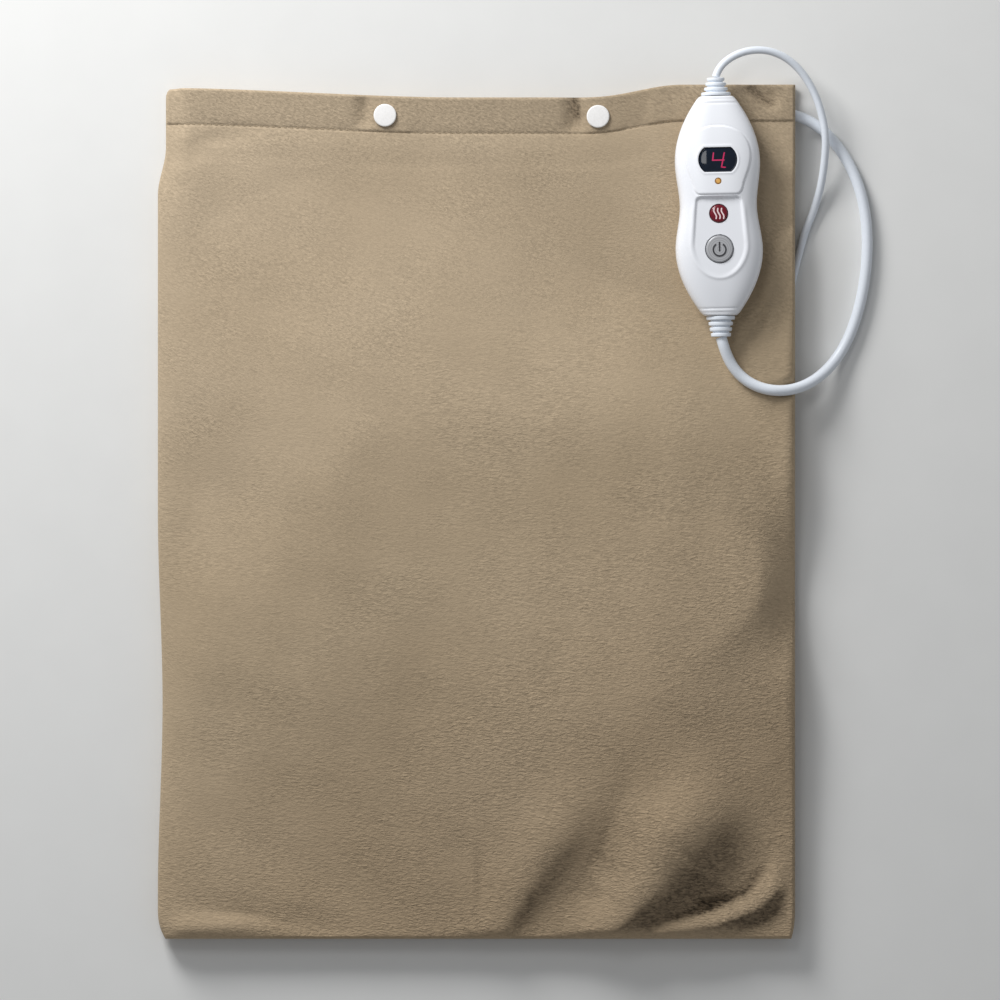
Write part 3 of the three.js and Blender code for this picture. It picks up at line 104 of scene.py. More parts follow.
class Surface:
    """A Principled material with procedural variation, kept in finishes under its name."""

    def __init__(self, name, colour, roughness, **inputs):
        finishes[name] = bpy.data.materials.new(name)
        finishes[name].use_nodes = True
        self.tree = finishes[name].node_tree
        self.shader = self.tree.nodes["Principled BSDF"]
        self.colour = colour
        for socket, value in {"base_color": colour, "roughness": roughness, **inputs}.items():
            socket = socket.replace("_", " ").title().replace("Ior", "IOR")
            self.shader.inputs[socket].default_value = value

    def feed(self, socket, value):
        """Gives an input a value, or the output of another node."""
        if isinstance(value, bpy.types.NodeSocket):
            self.tree.links.new(value, socket)
        else:
            socket.default_value = value

    def node(self, kind, **values):
        """A node with some of its inputs fed and some of its settings made."""
        node = self.tree.nodes.new("ShaderNode" + kind)
        for name, value in values.items():
            if name in node.inputs:
                self.feed(node.inputs[name], value)
            else:
                setattr(node, name, value)
        return node

    def place(self, scale=(1, 1, 1), origin=(0, 0, 0), turn=0):
        """The piece's own coordinates from an origin, turned about Z, in a number of steps to the metre."""
        return self.node(
            "Mapping", vector_type="TEXTURE", Vector=self.node("TexCoord").outputs["Object"],
            Location=origin, Rotation=(0, 0, turn), Scale=[1 / k for k in scale],
        ).outputs["Vector"]

    def noise(self, vector, scale, detail=2, roughness=0.5, distortion=0):
        return self.node(
            "TexNoise", Vector=vector, Scale=scale, Detail=detail, Roughness=roughness, Distortion=distortion,
        ).outputs["Fac"]

    def rings(self, y, scale):
        """Rings round a place on the controller's middle line."""
        vector = self.place(origin=at_controller([[0, y, 0]])[0] * MM)
        node = self.node("TexWave", Vector=vector, Scale=scale, wave_type="RINGS", rings_direction="Z")
        return node.outputs["Fac"]

    def ramp(self, factor, *stops):
        node = self.node("ValToRGB", Fac=factor)
        elements = node.color_ramp.elements
        while len(elements) < len(stops):
            elements.new(0.5)
        for element, (position, colour) in zip(elements, stops):
            element.position = position
            element.color = colour
        return node.outputs["Color"]

    def mix(self, factor, first, second, blend="MIX"):
        node = self.node("Mix", data_type="RGBA", blend_type=blend)
        for index, value in ((0, factor), (6, first), (7, second)):
            self.feed(node.inputs[index], value)
        return node.outputs[2]

    def paint(self, colour):
        self.feed(self.shader.inputs["Base Color"], colour)

    def bump(self, height, strength, distance):
        node = self.node("Bump", Height=height, Strength=strength, Distance=distance)
        self.feed(self.shader.inputs["Normal"], node.outputs["Normal"])

    def grain(self, scale, tint, strength, distance):
        """A mottled tint of the base colour, with a bump of the same grain."""
        fac = self.noise(self.place(), scale, 3)
        shade = lambda k: tuple(min(1, c * k) for c in self.colour[:3]) + (1,)
        self.paint(self.ramp(fac, (0.3, shade(1 - tint)), (0.7, shade(1 + tint))))
        if strength:
            self.bump(fac, strength, distance)


def fleece():
    """Short nap in strokes that slant by the hem and lie across the pad below, rougher to the lower right;
    painted shade makes it darker and warmer towards the lower right, and darker where the crease attribute is
    high.
    """
    made = Surface(
        "fleece", rgb(181, 162, 135), 0.92, specular_ior_level=0.1,
        sheen_weight=0.2, sheen_roughness=0.5, sheen_tint=rgb(236, 218, 190),
    )
    # Painted shade: the crease attribute darkens creases and the sides of folds that face away from the key
    # light.
    painted_shade = made.node("Attribute", attribute_name="crease").outputs["Fac"]
    parts = made.node("SeparateXYZ", Vector=made.place(turn=math.radians(31)))
    down = made.node("MapRange", **{"Value": parts.outputs["Y"], "From Min": 0.18, "From Max": -0.2})
    down = down.outputs["Result"]
    flow = made.node("Math", operation="ADD")
    made.feed(flow.inputs[0], made.noise(made.place(), 18))
    made.feed(flow.inputs[1], down)
    across = made.noise(made.place((390, 1080, 400), turn=math.radians(-3)), 1, 3, 0.6, 0.6)
    slant = made.noise(made.place((540, 1100, 400), turn=math.radians(-27)), 1, 3, 0.6, 0.6)
    nap = made.mix(made.ramp(flow.outputs[0], (0.72, grey(0)), (0.95, grey(1))), slant, across)
    broad = made.noise(made.place((10, 14, 10)), 1)
    patch = made.noise(made.place((24, 34, 24)), 1, 3, 0.6)
    tone = made.ramp(broad, (0.3, rgb(175, 157, 132)), (0.7, rgb(185, 167, 142)))
    # Painted shade: the tone gets darker and warmer towards the lower right, away from the key light.
    painted_falloff_shade = made.ramp(down, (0.05, grey(1)), (0.5, (1, 0.985, 0.95, 1)), (0.9, (0.97, 0.925, 0.87, 1)))
    # Painted shade from the crease attribute: the tone mixes towards dark brown, and the nap's overlay grows
    # stronger so that the grain still shows in it.
    tone = made.mix(painted_shade, made.mix(1.0, tone, painted_falloff_shade, "MULTIPLY"), rgb(72, 60, 46))
    marked = made.mix(painted_shade, made.ramp(patch, (0.38, grey(0.2)), (0.66, grey(0.55))), grey(1))
    parted = made.ramp(nap, (0.36, grey(0.1)), (0.64, grey(0.9)))
    made.paint(made.mix(marked, tone, made.mix(painted_shade, nap, parted), "OVERLAY"))
    rough = made.ramp(down, (0, grey(0.3)), (0.6, grey(0.4)), (0.95, grey(1)))
    uneven = made.ramp(patch, (0.35, grey(0.6)), (0.65, grey(1)))
    made.bump(nap, made.mix(1.0, rough, uneven, "MULTIPLY"), 0.0018)


def plain(name, colour, roughness, scale=1200, tint=0.04, bump=0.05, depth=0.00003, **inputs):
    Surface(name, colour, roughness, **inputs).grain(scale, tint, bump, depth)


def key_grey():
    """Satin grey with fine turned rings round the key's own centre."""
    made = Surface("grey_key", rgb(178, 179, 182), 0.34, metallic=0.15)
    rings = made.rings(POWER_AT, 310)
    made.paint(made.ramp(rings, (0.2, rgb(170, 171, 174)), (0.8, rgb(188, 189, 192))))
    made.bump(rings, 0.12, 0.00006)


def lit_amber():
    """A clear lens, a little brighter in its middle as a painted glow and dark at its rim as painted shade.
    """
    made = Surface(
        "amber", rgb(226, 172, 92), 0.18, transmission_weight=0.15,
        emission_strength=0.12, emission_color=rgb(240, 180, 80),
    )
    rings = made.rings(LIGHT_AT, math.pi / (20 * LIGHT_RADIUS * MM))
    made.paint(made.ramp(rings, (0.45, rgb(232, 182, 104)), (0.95, rgb(128, 84, 40))))


# Mesh making. A shape is a list of points and a list of faces.

def xyz(*coordinates):
    """Points from their coordinates, of which some may be the same for a whole row."""
    return np.stack(np.broadcast_arrays(*coordinates), -1)


def circle(count):
    return np.linspace(0, 2 * np.pi, count, endpoint=False)


def add_mesh(name, points, faces):
    mesh = bpy.data.meshes.new(name)
    mesh.from_pydata((np.asarray(points, float) * MM).tolist(), [], [list(map(int, f)) for f in faces])
    return add_object(name, mesh)


def smooth_shading(obj, sharp):
    obj.data.shade_smooth()
    obj.data.set_sharp_from_angle(angle=math.radians(sharp))


def make_object(name, shape, finish, *stands_for, body=PAD, slot=None, sharp=35):
    obj = add_mesh(name, *shape)
    obj.data.validate()
    smooth_shading(obj, sharp)
    return dress(obj, finish, *stands_for, body=body, slot=slot)


def dress(obj, finish, *stands_for, body=PAD, slot=None):
    """Gives a piece its finish and its body, and hides the imported parts that it stands for; its slot
    argument is not used.
    """
    obj.data.materials.clear()
    obj.data.materials.append(finishes[finish])
    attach(obj, body)
    if stands_for:
        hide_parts(*stands_for)
    return obj


def grid_faces(rows, columns, start=0, wrap=False, flip=False):
    """Quads over rows of points; wrap joins each row's last point to its first."""
    across = columns if wrap else columns - 1
    i, j = np.meshgrid(np.arange(across), np.arange(rows - 1))
    right = (i + 1) % columns
    corners = [j * columns + i, j * columns + right, (j + 1) * columns + right, (j + 1) * columns + i]
    quads = np.stack([c.ravel() for c in corners], -1) + start
    return (quads[:, ::-1] if flip else quads).tolist()


def skin(lower, upper):
    """A closed sheet between two grids of points."""
    rows, columns = lower.shape[:2]
    size = rows * columns
    faces = grid_faces(rows, columns, flip=True) + grid_faces(rows, columns, size)
    index = np.arange(size).reshape(rows, columns)
    rim = np.concatenate([index[0, :-1], index[:-1, -1], index[-1, :0:-1], index[:0:-1, 0]])
    ahead = np.roll(rim, -1)
    faces += np.stack([rim, ahead, ahead + size, rim + size], -1).tolist()
    return np.concatenate([lower.reshape(-1, 3), upper.reshape(-1, 3)]), faces


def loft(rings):
    """A closed solid through rows of rings, with flat ends."""
    rows, columns = rings.shape[:2]
    faces = grid_faces(rows, columns, wrap=True)
    faces.append(list(range(columns))[::-1])
    faces.append(list(range((rows - 1) * columns, rows * columns)))
    return rings.reshape(-1, 3), faces


def soften(profile, radius, steps=4):
    """Rounds the inner corners of a profile."""
    points = [np.array(p, float) for p in profile]
    t = np.linspace(0, 1, steps + 1)[:, None]
    made = [points[0]]
    for before, corner, after in zip(points, points[1:], points[2:]):
        to_before, to_after = before - corner, after - corner
        spans = np.linalg.norm(to_before), np.linalg.norm(to_after)
        reach = min(radius, min(spans) * 0.45)
        start, end = corner + to_before / spans[0] * reach, corner + to_after / spans[1] * reach
        made.append((1 - t) ** 2 * start + 2 * t * (1 - t) * corner + t * t * end)
    return np.vstack([*made, points[-1]])


def around(count):
    """Each place of a closed row, with the next one."""
    return [(k, (k + 1) % count) for k in range(count)]


def turned(profile, sides):
    """A solid of revolution about Z, from a profile of radius and height that starts and ends on the axis."""
    profile = np.asarray(profile, float)
    angle = circle(sides)
    radius, height = profile[1:-1, 0][:, None], profile[1:-1, 1][:, None]
    ring = xyz(radius * np.cos(angle), radius * np.sin(angle), height)
    points = np.concatenate([ring.reshape(-1, 3), [[0, 0, profile[0, 1]], [0, 0, profile[-1, 1]]]])
    faces = grid_faces(len(ring), sides, wrap=True)
    foot, last = len(ring) * sides, (len(ring) - 1) * sides
    for k, ahead in around(sides):
        faces += [[foot, ahead, k], [foot + 1, last + k, last + ahead]]
    return points, faces


def stroke(points, width, base, thick, follow=None):
    """A flat mark with round ends along a line of points; follow gives the height of what it lies on."""
    line = np.array(points, float)
    along = np.gradient(line, axis=0)
    along /= np.linalg.norm(along, axis=1)[:, None]
    side = xyz(-along[:, 1], along[:, 0]) * width / 2
    sweep = np.linspace(0, np.pi, 9)[1:-1]

    def cap(centre, out, left):
        return [centre + np.cos(a) * left + np.sin(a) * out * width / 2 for a in sweep]

    outline = np.array([
        *(line + side),
        *cap(line[-1], along[-1], side[-1]),
        *(line - side)[::-1],
        *cap(line[0], -along[0], -side[0]),
    ])
    lift = np.zeros(len(outline)) if follow is None else follow(outline[:, 0], outline[:, 1])
    low = np.column_stack([outline, lift + base])
    count, total = len(line), len(outline)
    turn = count + len(sweep)
    faces = [[k + total, ahead + total, ahead, k] for k, ahead in around(total)]
    partner = lambda k: turn + count - 1 - k
    for k in range(count - 1):
        quad = [k, partner(k), partner(k + 1), k + 1]
        faces += [quad, [q + total for q in quad[::-1]]]
    for cap_face in ([*range(count - 1, turn + 1)], [*range(turn + count - 1, total), 0]):
        faces += [cap_face[::-1], [q + total for q in cap_face]]
    return np.concatenate([low, low + [0, 0, thick]]), faces


def bundle(shapes):
    """Several shapes as one."""
    points, faces, start = [], [], 0
    for part_points, part_faces in shapes:
        points.append(part_points)
        faces += [[i + start for i in face] for face in part_faces]
        start += len(part_points)
    return np.concatenate(points), faces


def rod(radius, low, high, sides):
    return turned([[0, low], [radius, low], [radius, high], [0, high]], sides)


def moved(shape, x, y):
    points, faces = shape
    return points + [x, y, 0], faces


def carve(obj, *shapes):
    """Cuts shapes out of a mesh."""
    for shape in shapes:
        cutter = add_mesh("cutter", *shape)
        modifier = obj.modifiers.new("cut", "BOOLEAN")
        modifier.operation = "DIFFERENCE"
        modifier.solver = "MANIFOLD"
        modifier.object = cutter
        graph = bpy.context.evaluated_depsgraph_get()
        mesh = bpy.data.meshes.new_from_object(obj.evaluated_get(graph))
        obj.modifiers.clear()
        obj.data = mesh
        bpy.data.objects.remove(cutter)


def step(value, low, high):
    t = np.clip((value - low) / (high - low), 0, 1)
    return t * t * (3 - 2 * t)


def swell(offset, reach):
    return 1 - step(np.abs(offset), 0, reach)


def rounding(distance, radius):
    return np.sqrt(1 - (1 - np.clip(distance / radius, 0, 1)) ** 2)


def bell(offset, width):
    return np.exp(-((offset / width) ** 2))


def squared(wave, power):
    """A sine or cosine, changed so that the round it draws becomes a rounded box."""
    return np.sign(wave) * np.abs(wave) ** (2 / power)


def run_of(line):
    """The length along a line of points up to each of them."""
    return np.concatenate([[0], np.cumsum(np.linalg.norm(np.diff(line, axis=0), axis=1))])


def to_segment(x, y, start, end):
    """Distance to a segment, and the share of the way along it where it is nearest."""
    (ax, ay), (dx, dy) = start, end - start
    t = np.clip(((x - ax) * dx + (y - ay) * dy) / (dx * dx + dy * dy + 1e-12), 0, 1)
    return np.hypot(x - ax - dx * t, y - ay - dy * t), t


# Controller: its frame and its outline.

HOUSING_AT = (113.6, 144.7)
HOUSING_TURN = math.radians(1.2)
HOUSING_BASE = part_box("lower_shell")[0].z / MM
HOUSING_HALF = 51.5
PARTING = 8.5
POWER_AT = -20.4
HEAT_AT = -3.8


def at_controller(points):
    """Points of the controller's own frame in the pad's frame."""
    c, s = math.cos(HOUSING_TURN), math.sin(HOUSING_TURN)
    turn = np.array([[c, s, 0], [-s, c, 0], [0, 0, 1]])
    return np.asarray(points, float) @ turn + [*HOUSING_AT, HOUSING_BASE]


def on_controller(shape):
    return at_controller(shape[0]), shape[1]


# Cords.

MAINS_DIAMETER = 3.6
LEAD_DIAMETER = 5.2
MAINS_TIP = HOUSING_HALF + 8.972
LEAD_TIP = HOUSING_HALF + 10.246
LEAD_STRAIGHT = 3
EASE_IN, EASE_OUT = 2, 8
EASE_RATE, EASE_ROUNDS = 0.1, 2000
MAINS_EASE, MAINS_EASE_REACH = 1.0, 50
LEAD_EASE = 0.9
ON_FLOOR = 2.0
COIL_X, COIL_Y = 70, -30
COIL_INNER = 16
COIL_TURNS = 4.25
COIL_PITCH = 4.6
COIL_OUTER = COIL_INNER + COIL_PITCH * COIL_TURNS
COIL_LOW = 3.1
COIL_LAYER = 4.5
COIL_TOP = 10.5
COIL_LEAD_IN = 5
COIL_APPROACH = 12
TAIL_LENGTH = 26
PLUG_LENGTH = 36
PLUG_WIDTH = 35.3
PLUG_TAIL_WIDTH = 15
PLUG_THICK = 13.7
PLUG_TAPER = 3.2
PLUG_EDGE = 1.4
PLUG_SQUARE = 5.5
PLUG_RELIEF = 24
PIN_LENGTH = 19
PLUG_Z = 7.05
PLUG_TOP = PLUG_Z + PLUG_THICK / 2
PLUG_Y = COIL_Y + COIL_OUTER
PLUG_END_X = COIL_X - TAIL_LENGTH
PLUG_FACE_X = PLUG_END_X - PLUG_RELIEF - PLUG_LENGTH


def smooth_route(points, pitch=2.0):
    """A centripetal curve through the points, at even steps."""
    p = np.array(points, float)
    p = np.vstack([2 * p[0] - p[1], p, 2 * p[-1] - p[-2]])
    t = np.linspace(0, 1, 24, endpoint=False)[:, None]
    fine = []
    for p0, p1, p2, p3 in zip(p, p[1:], p[2:], p[3:]):
        d0, d1, d2 = (np.linalg.norm(b - a) ** 0.5 for a, b in ((p0, p1), (p1, p2), (p2, p3)))
        t1 = ((p1 - p0) / d0 - (p2 - p0) / (d0 + d1) + (p2 - p1) / d1) * d1
        t2 = ((p2 - p1) / d1 - (p3 - p1) / (d1 + d2) + (p3 - p2) / d2) * d1
        fine.append(p1 + t1 * t + (3 * (p2 - p1) - 2 * t1 - t2) * t**2 + (2 * (p1 - p2) + t1 + t2) * t**3)
    fine = np.vstack([*fine, p[-2]])
    run = run_of(fine)
    at = np.linspace(0, run[-1], max(2, round(run[-1] / pitch)) + 1)
    return np.stack([np.interp(at, run, fine[:, k]) for k in range(3)], -1)


def eased(line, most, reach=math.inf, axes=3):
    """A route with the bends up to a reach opened out, moved at most so far and along the first axes only."""
    run = run_of(line)
    nearest_end = np.minimum(run, run[-1] - run)
    allow = most * np.clip(nearest_end / EASE_IN, 0, 1) * np.clip((reach - run) / EASE_OUT, 0, 1)
    bent = line.copy()
    for _ in range(EASE_ROUNDS):
        bend = np.zeros_like(bent)
        bend[1:-1] = bent[:-2] - 2 * bent[1:-1] + bent[2:]
        beside = np.pad(bend, ((1, 1), (0, 0)))
        away = bent - EASE_RATE * (beside[:-2] - 2 * bend + beside[2:]) - line
        away[:, axes:] = 0
        far = np.linalg.norm(away, axis=1)
        bent = line + away * np.minimum(1, allow / np.maximum(far, 1e-9))[:, None]
    return bent


def coil_route():
    """Spirals in on the surface, climbs a layer in half a turn, and spirals out on top."""
    turns = np.linspace(0, 2 * COIL_TURNS + 0.5, 560)
    inward = np.minimum(turns, COIL_TURNS)
    climb = np.clip((turns - COIL_TURNS) * 2, 0, 1)
    outward = np.maximum(turns - COIL_TURNS - 0.5, 0)
    radius = COIL_OUTER - COIL_PITCH * (inward - outward)
    angle = math.pi / 2 + 2 * np.pi * turns
    x, y = COIL_X + radius * np.cos(angle), COIL_Y + radius * np.sin(angle)
    return xyz(x, y, COIL_LOW + COIL_LAYER * climb)


UNDER_PAD = [(147.6, 104), (144.6, 80), (142, 56), (136, 32), (123, 14), (106, 6.6)]
MAINS_ROUTE = [
    *at_controller([[0, MAINS_TIP, PARTING], [0, MAINS_TIP + LEAD_STRAIGHT, PARTING]]),
    (119.6, 213.2, 21), (126.8, 217.6, 20), (136.4, 218.2, 18.4), (145.4, 214.8, 16.4),
    (152.6, 208, 14.4), (158.6, 198.6, 12.6), (162.4, 188, 11.4), (164.2, 177, 10.4),
    (163.8, 166, 8), (162, 154, 4.8), (158.8, 143, 2.4), (154.6, 132, ON_FLOOR),
    *[(x, y, ON_FLOOR) for x, y in UNDER_PAD],
    (COIL_X + COIL_APPROACH, PLUG_Y, COIL_LOW),
    (COIL_X + COIL_LEAD_IN, PLUG_Y, COIL_LOW),
]
TAIL_ROUTE = [
    (COIL_X - COIL_LEAD_IN, PLUG_Y, COIL_LOW + COIL_LAYER),
    (COIL_X - TAIL_LENGTH / 2, PLUG_Y, (COIL_LOW + COIL_LAYER + PLUG_Z) / 2),
    (PLUG_END_X, PLUG_Y, PLUG_Z),
]
LEAD_ROUTE = [
    *at_controller([[0, -LEAD_TIP, PARTING], [0, -LEAD_TIP - LEAD_STRAIGHT, PARTING]]),
    (118.6, 71, 20.2), (124.2, 64.4, 18.8), (131.6, 60, 18.6), (140.2, 57.8, 18.2),
    (148.6, 58.6, 15.6), (156.6, 61.8, 11.4), (164.6, 67.6, 7), (171.6, 76, 3.8),
    (177.6, 89, 2.9), (181.2, 102, 2.9), (183.6, 117, 2.9), (183.8, 134, 2.9),
    (181.6, 149, 2.9), (176.6, 163, 2.9), (170.4, 172.2, 3.1), (163.2, 180.6, 3.8),
    (155, 186.6, 5), (147, 189, 6.7), (138, 188, 6.7), (126.3, 188, 6.7),
]


def cord_curve(name, route, diameter, *stands_for):
    data = bpy.data.curves.new(name, "CURVE")
    data.dimensions = "3D"
    data.bevel_depth = diameter / 2 * MM
    data.bevel_resolution = 5
    data.use_fill_caps = True
    spline = data.splines.new("POLY")
    spline.points.add(len(route) - 1)
    spline.points.foreach_set("co", np.column_stack([route * MM, np.ones(len(route))]).ravel())
    spline.use_smooth = True
    return dress(add_object(name, data), "white_cord", *stands_for)


plain("white_cord", rgb(232, 238, 246), 0.38, 900, 0.02, 0.08, 0.00005)
mains_start = eased(smooth_route(MAINS_ROUTE), MAINS_EASE, MAINS_EASE_REACH)
mains_line = np.vstack([mains_start[:-1], coil_route(), smooth_route(TAIL_ROUTE)[1:]])
lead_line = eased(smooth_route(LEAD_ROUTE), LEAD_EASE, axes=2)
mains_cord = cord_curve(
    "mains_cord", mains_line, MAINS_DIAMETER, "mains_lead", "mains_lead_coil", "mains_lead_tail",
)
lead_cord = cord_curve("pad_cord", lead_line, LEAD_DIAMETER, "pad_lead")


# The plug and the tie on the mains cord.

def lay_plug(points):
    """Lays a piece that is made along +Y from the plug's face, so that the face looks away from the coil."""
    points = np.asarray(points)
    return xyz(PLUG_FACE_X + points[:, 1], PLUG_Y - points[:, 0], PLUG_Z + points[:, 2])


def plug_body():
    share = np.linspace(0, 1, 40)[:, None]
    width = PLUG_WIDTH + (PLUG_TAIL_WIDTH - PLUG_WIDTH) * step(share, 0.32, 1.05)
    thick = PLUG_THICK - PLUG_TAPER * step(share, 0.55, 1.0)
    inset = PLUG_EDGE * (1 - rounding(np.minimum(share, 1 - share) * PLUG_LENGTH, PLUG_EDGE))
    angle = circle(72)
    x = (width / 2 - inset) * squared(np.cos(angle), PLUG_SQUARE)
    z = (thick / 2 - inset) * squared(np.sin(angle), PLUG_SQUARE)
    points, faces = loft(xyz(x, PLUG_LENGTH * share, z)[::-1])
    return lay_plug(points), faces


def along_y(points):
    """Turns a solid of revolution to lie along +Y."""
    points = np.asarray(points)
    return xyz(points[:, 0], points[:, 2], -points[:, 1])


def plug_relief():
    ribs, pitch, outer, taper, groove = 6, 3.4, 5.9, 0.36, 1
    profile = [[0, SEAT], [6, SEAT]]
    for k in range(ribs):
        start, wide = 1.5 + pitch * k, outer - taper * k
        slim = wide - groove
        profile += [[wide, start], [wide, start + 2.1], [slim, start + 2.4], [slim, start + 3.1]]
    profile += [[MAINS_DIAMETER * 0.8, PLUG_RELIEF], [0, PLUG_RELIEF]]
    points, faces = turned(soften(profile, 0.5, 3), 40)
    return lay_plug(along_y(points) + [0, PLUG_LENGTH, 0]), faces


def cord_tie():
    """A flat band round the coil's bundle."""
    low, high = 0.2, COIL_TOP
    band, width, corner, room = 0.8, 8, 2.2, 3.8
    left, right = COIL_X + COIL_INNER - room + corner, COIL_X + COIL_OUTER + room - corner
    top, bottom = high - corner, low + corner
    arc = np.linspace(0, np.pi / 2, 7)
    angle = np.concatenate([arc + k * np.pi / 2 for k in range(4)])
    x, z = np.repeat([(right, top), (left, top), (left, bottom), (right, bottom)], len(arc), axis=0).T
    slim, near, far = corner - band, COIL_Y - width / 2, COIL_Y + width / 2
    points = np.concatenate([
        xyz(x + r * np.cos(angle), y, z + r * np.sin(angle))
        for r, y in ((corner, near), (corner, far), (slim, far), (slim, near))
    ])
    last = 3 * len(x)
    closing = [[last + k, last + ahead, ahead, k] for k, ahead in around(len(x))]
    return points, grid_faces(4, len(x), wrap=True) + closing


plain("black_plastic", rgb(30, 31, 34), 0.5)
plug = make_object("plug_moulding", plug_body(), "white_cord", "plug_body")
relief = make_object("plug_bend_relief", plug_relief(), "white_cord", "plug_strain_relief")
tie = make_object("hook_and_loop_tie", cord_tie(), "black_plastic", "cord_tie")


# Shape of the pad.

HALF_WIDTH = 150
HALF_LENGTH = 200
CLOTH = 2.4
HEM_CLOTH = 2.8
HEM_SEAM = 183
INSERT_MARGIN = 11
INSERT_LAYER = 2
CAVITY = 7.8
RIM_GAP = 0.4
RIM_REACH = 18
RIM_LIFT = 2.5
STUD_AT = (-43, 57.2)
STUD_SPACE = 4.4
STUD_FLAT = 10
POCKET_LEFT = 67.2
POCKET_BOTTOM = 146
POCKET_FADE = 18
SIDE_SLOPE_AT, SIDE_SLOPE_REACH = -34, 50
CLEARANCE = 0.5
RIDE_MARGIN, RIDE_REACH, EDGE_REACH = 13, 60, 36
LEAD_RISE, LEAD_MARGIN, LEAD_REACH = MAINS_DIAMETER + 0.2, 7, 11
UNDER_LINE = [(152.4, 124), *UNDER_PAD, (COIL_X + COIL_APPROACH, PLUG_Y)]

# How far the cover is drawn in: its hem, its left side, its lower corners and the hem's left corner.
HEM_SAG, HEM_RISE, HEM_RIGHT_RISE = 4.4, 0.4, 1.6
HEM_INSET, SIDE_INSET, SIDE_INSET_AT, SIDE_INSET_REACH = 3.8, 2.2, -89, 90
FOOT_CORNER, FOOT_LEFT, FOOT_RIGHT = 14, 3.6, 1.8
HEM_CORNER, HEM_CORNER_X, HEM_CORNER_Y = 5, 1.8, 0.5
CORNER_POWER = 2.5


def drawn_in(x, y):
    """Where a point of the flat cover lies: the hem sags between its ends, the sides and corners draw in."""
    sag = HEM_SAG * step(x, -HALF_WIDTH, -5) * (1 - step(x, 50, 98))
    sag = sag - HEM_RISE - HEM_RIGHT_RISE * step(x, 60, 95)
    by_hem = step(y, HEM_SEAM - 70, HEM_SEAM - INSERT_MARGIN)
    by_left = step(-x, HALF_WIDTH - 60, HALF_WIDTH)
    inset = HEM_INSET * step(y, HEM_SEAM - 33, HEM_SEAM - 11)
    inset = inset + SIDE_INSET * swell(y - SIDE_INSET_AT, SIDE_INSET_REACH)
    foot = np.clip((FOOT_CORNER - HALF_LENGTH - y) / FOOT_CORNER, 0, 1) ** CORNER_POWER
    left, right = step(-x, HALF_WIDTH - 20, HALF_WIDTH), step(x, HALF_WIDTH - 14, HALF_WIDTH)
    hem = np.clip((y - HALF_LENGTH + HEM_CORNER) / HEM_CORNER, 0, 1) ** CORNER_POWER
    hem = hem * step(-x, HALF_WIDTH - 9, HALF_WIDTH)
    x = x + inset * by_left + foot * (FOOT_LEFT * left - FOOT_RIGHT * right) + HEM_CORNER_X * hem
    return x, y - sag * by_hem - HEM_CORNER_Y * hem


def to_line(x, y, points):
    """Distance to a line of points, signed positive on its right, and the share of the way along it."""
    points = np.array(points, float)
    run = run_of(points)
    best = np.full(np.shape(x), 1e9)
    signed, share = np.zeros(np.shape(x)), np.zeros(np.shape(x))
    for k, (start, end) in enumerate(zip(points, points[1:])):
        away, t = to_segment(x, y, start, end)
        right = (x - start[0]) * (end[1] - start[1]) - (y - start[1]) * (end[0] - start[0]) >= 0
        nearer = away < best
        best = np.where(nearer, away, best)
        signed = np.where(nearer, np.where(right, away, -away), signed)
        share = np.where(nearer, (run[k] + t * (run[k + 1] - run[k])) / run[-1], share)
    return signed, share


def ride(distance, height, margin=RIDE_MARGIN, reach=RIDE_REACH):
    return (height + CLEARANCE) * (1 - step(distance, margin, margin + reach))


def away_from_coil(x, y):
    return np.hypot(x - COIL_X, y - COIL_Y) - COIL_OUTER - MAINS_DIAMETER


def away_from_plug(x, y):
    line = [(PLUG_END_X, PLUG_Y), (PLUG_FACE_X - PIN_LENGTH, PLUG_Y)]
    return np.abs(to_line(x, y, line)[0]) - PLUG_WIDTH / 2


def from_edge(x, y):
    return np.minimum(HALF_WIDTH - np.abs(x), y + HALF_LENGTH)


def lift_at(x, y):
    """How far the pad is carried by the lead, the coil and the plug under it."""
    over_coil = ride(away_from_coil(x, y), COIL_TOP)
    over_plug = ride(away_from_plug(x, y), PLUG_TOP)
    over_lead = ride(np.abs(to_line(x, y, UNDER_LINE)[0]), LEAD_RISE, LEAD_MARGIN, LEAD_REACH)
    return np.maximum(np.maximum(over_coil, over_plug) * step(from_edge(x, y), 0, EDGE_REACH), over_lead)


# The swell of the front panel over coil and plug: how soon the two run together, how far it falls off,
# also to the hem and to the foot, the roundness of its crest, and how far from the edges it is let down.
DRAPE_BLEND = 15
DRAPE_REACH, DRAPE_TO_HEM, DRAPE_TO_FOOT = 68, 62, 72
DRAPE_CREST = 0.2
LEFT_BRINK, RIGHT_BRINK, SLOPE_BRINK = 30, 60, 18
SIDE_STAND, SIDE_TURN = 0.45, 4


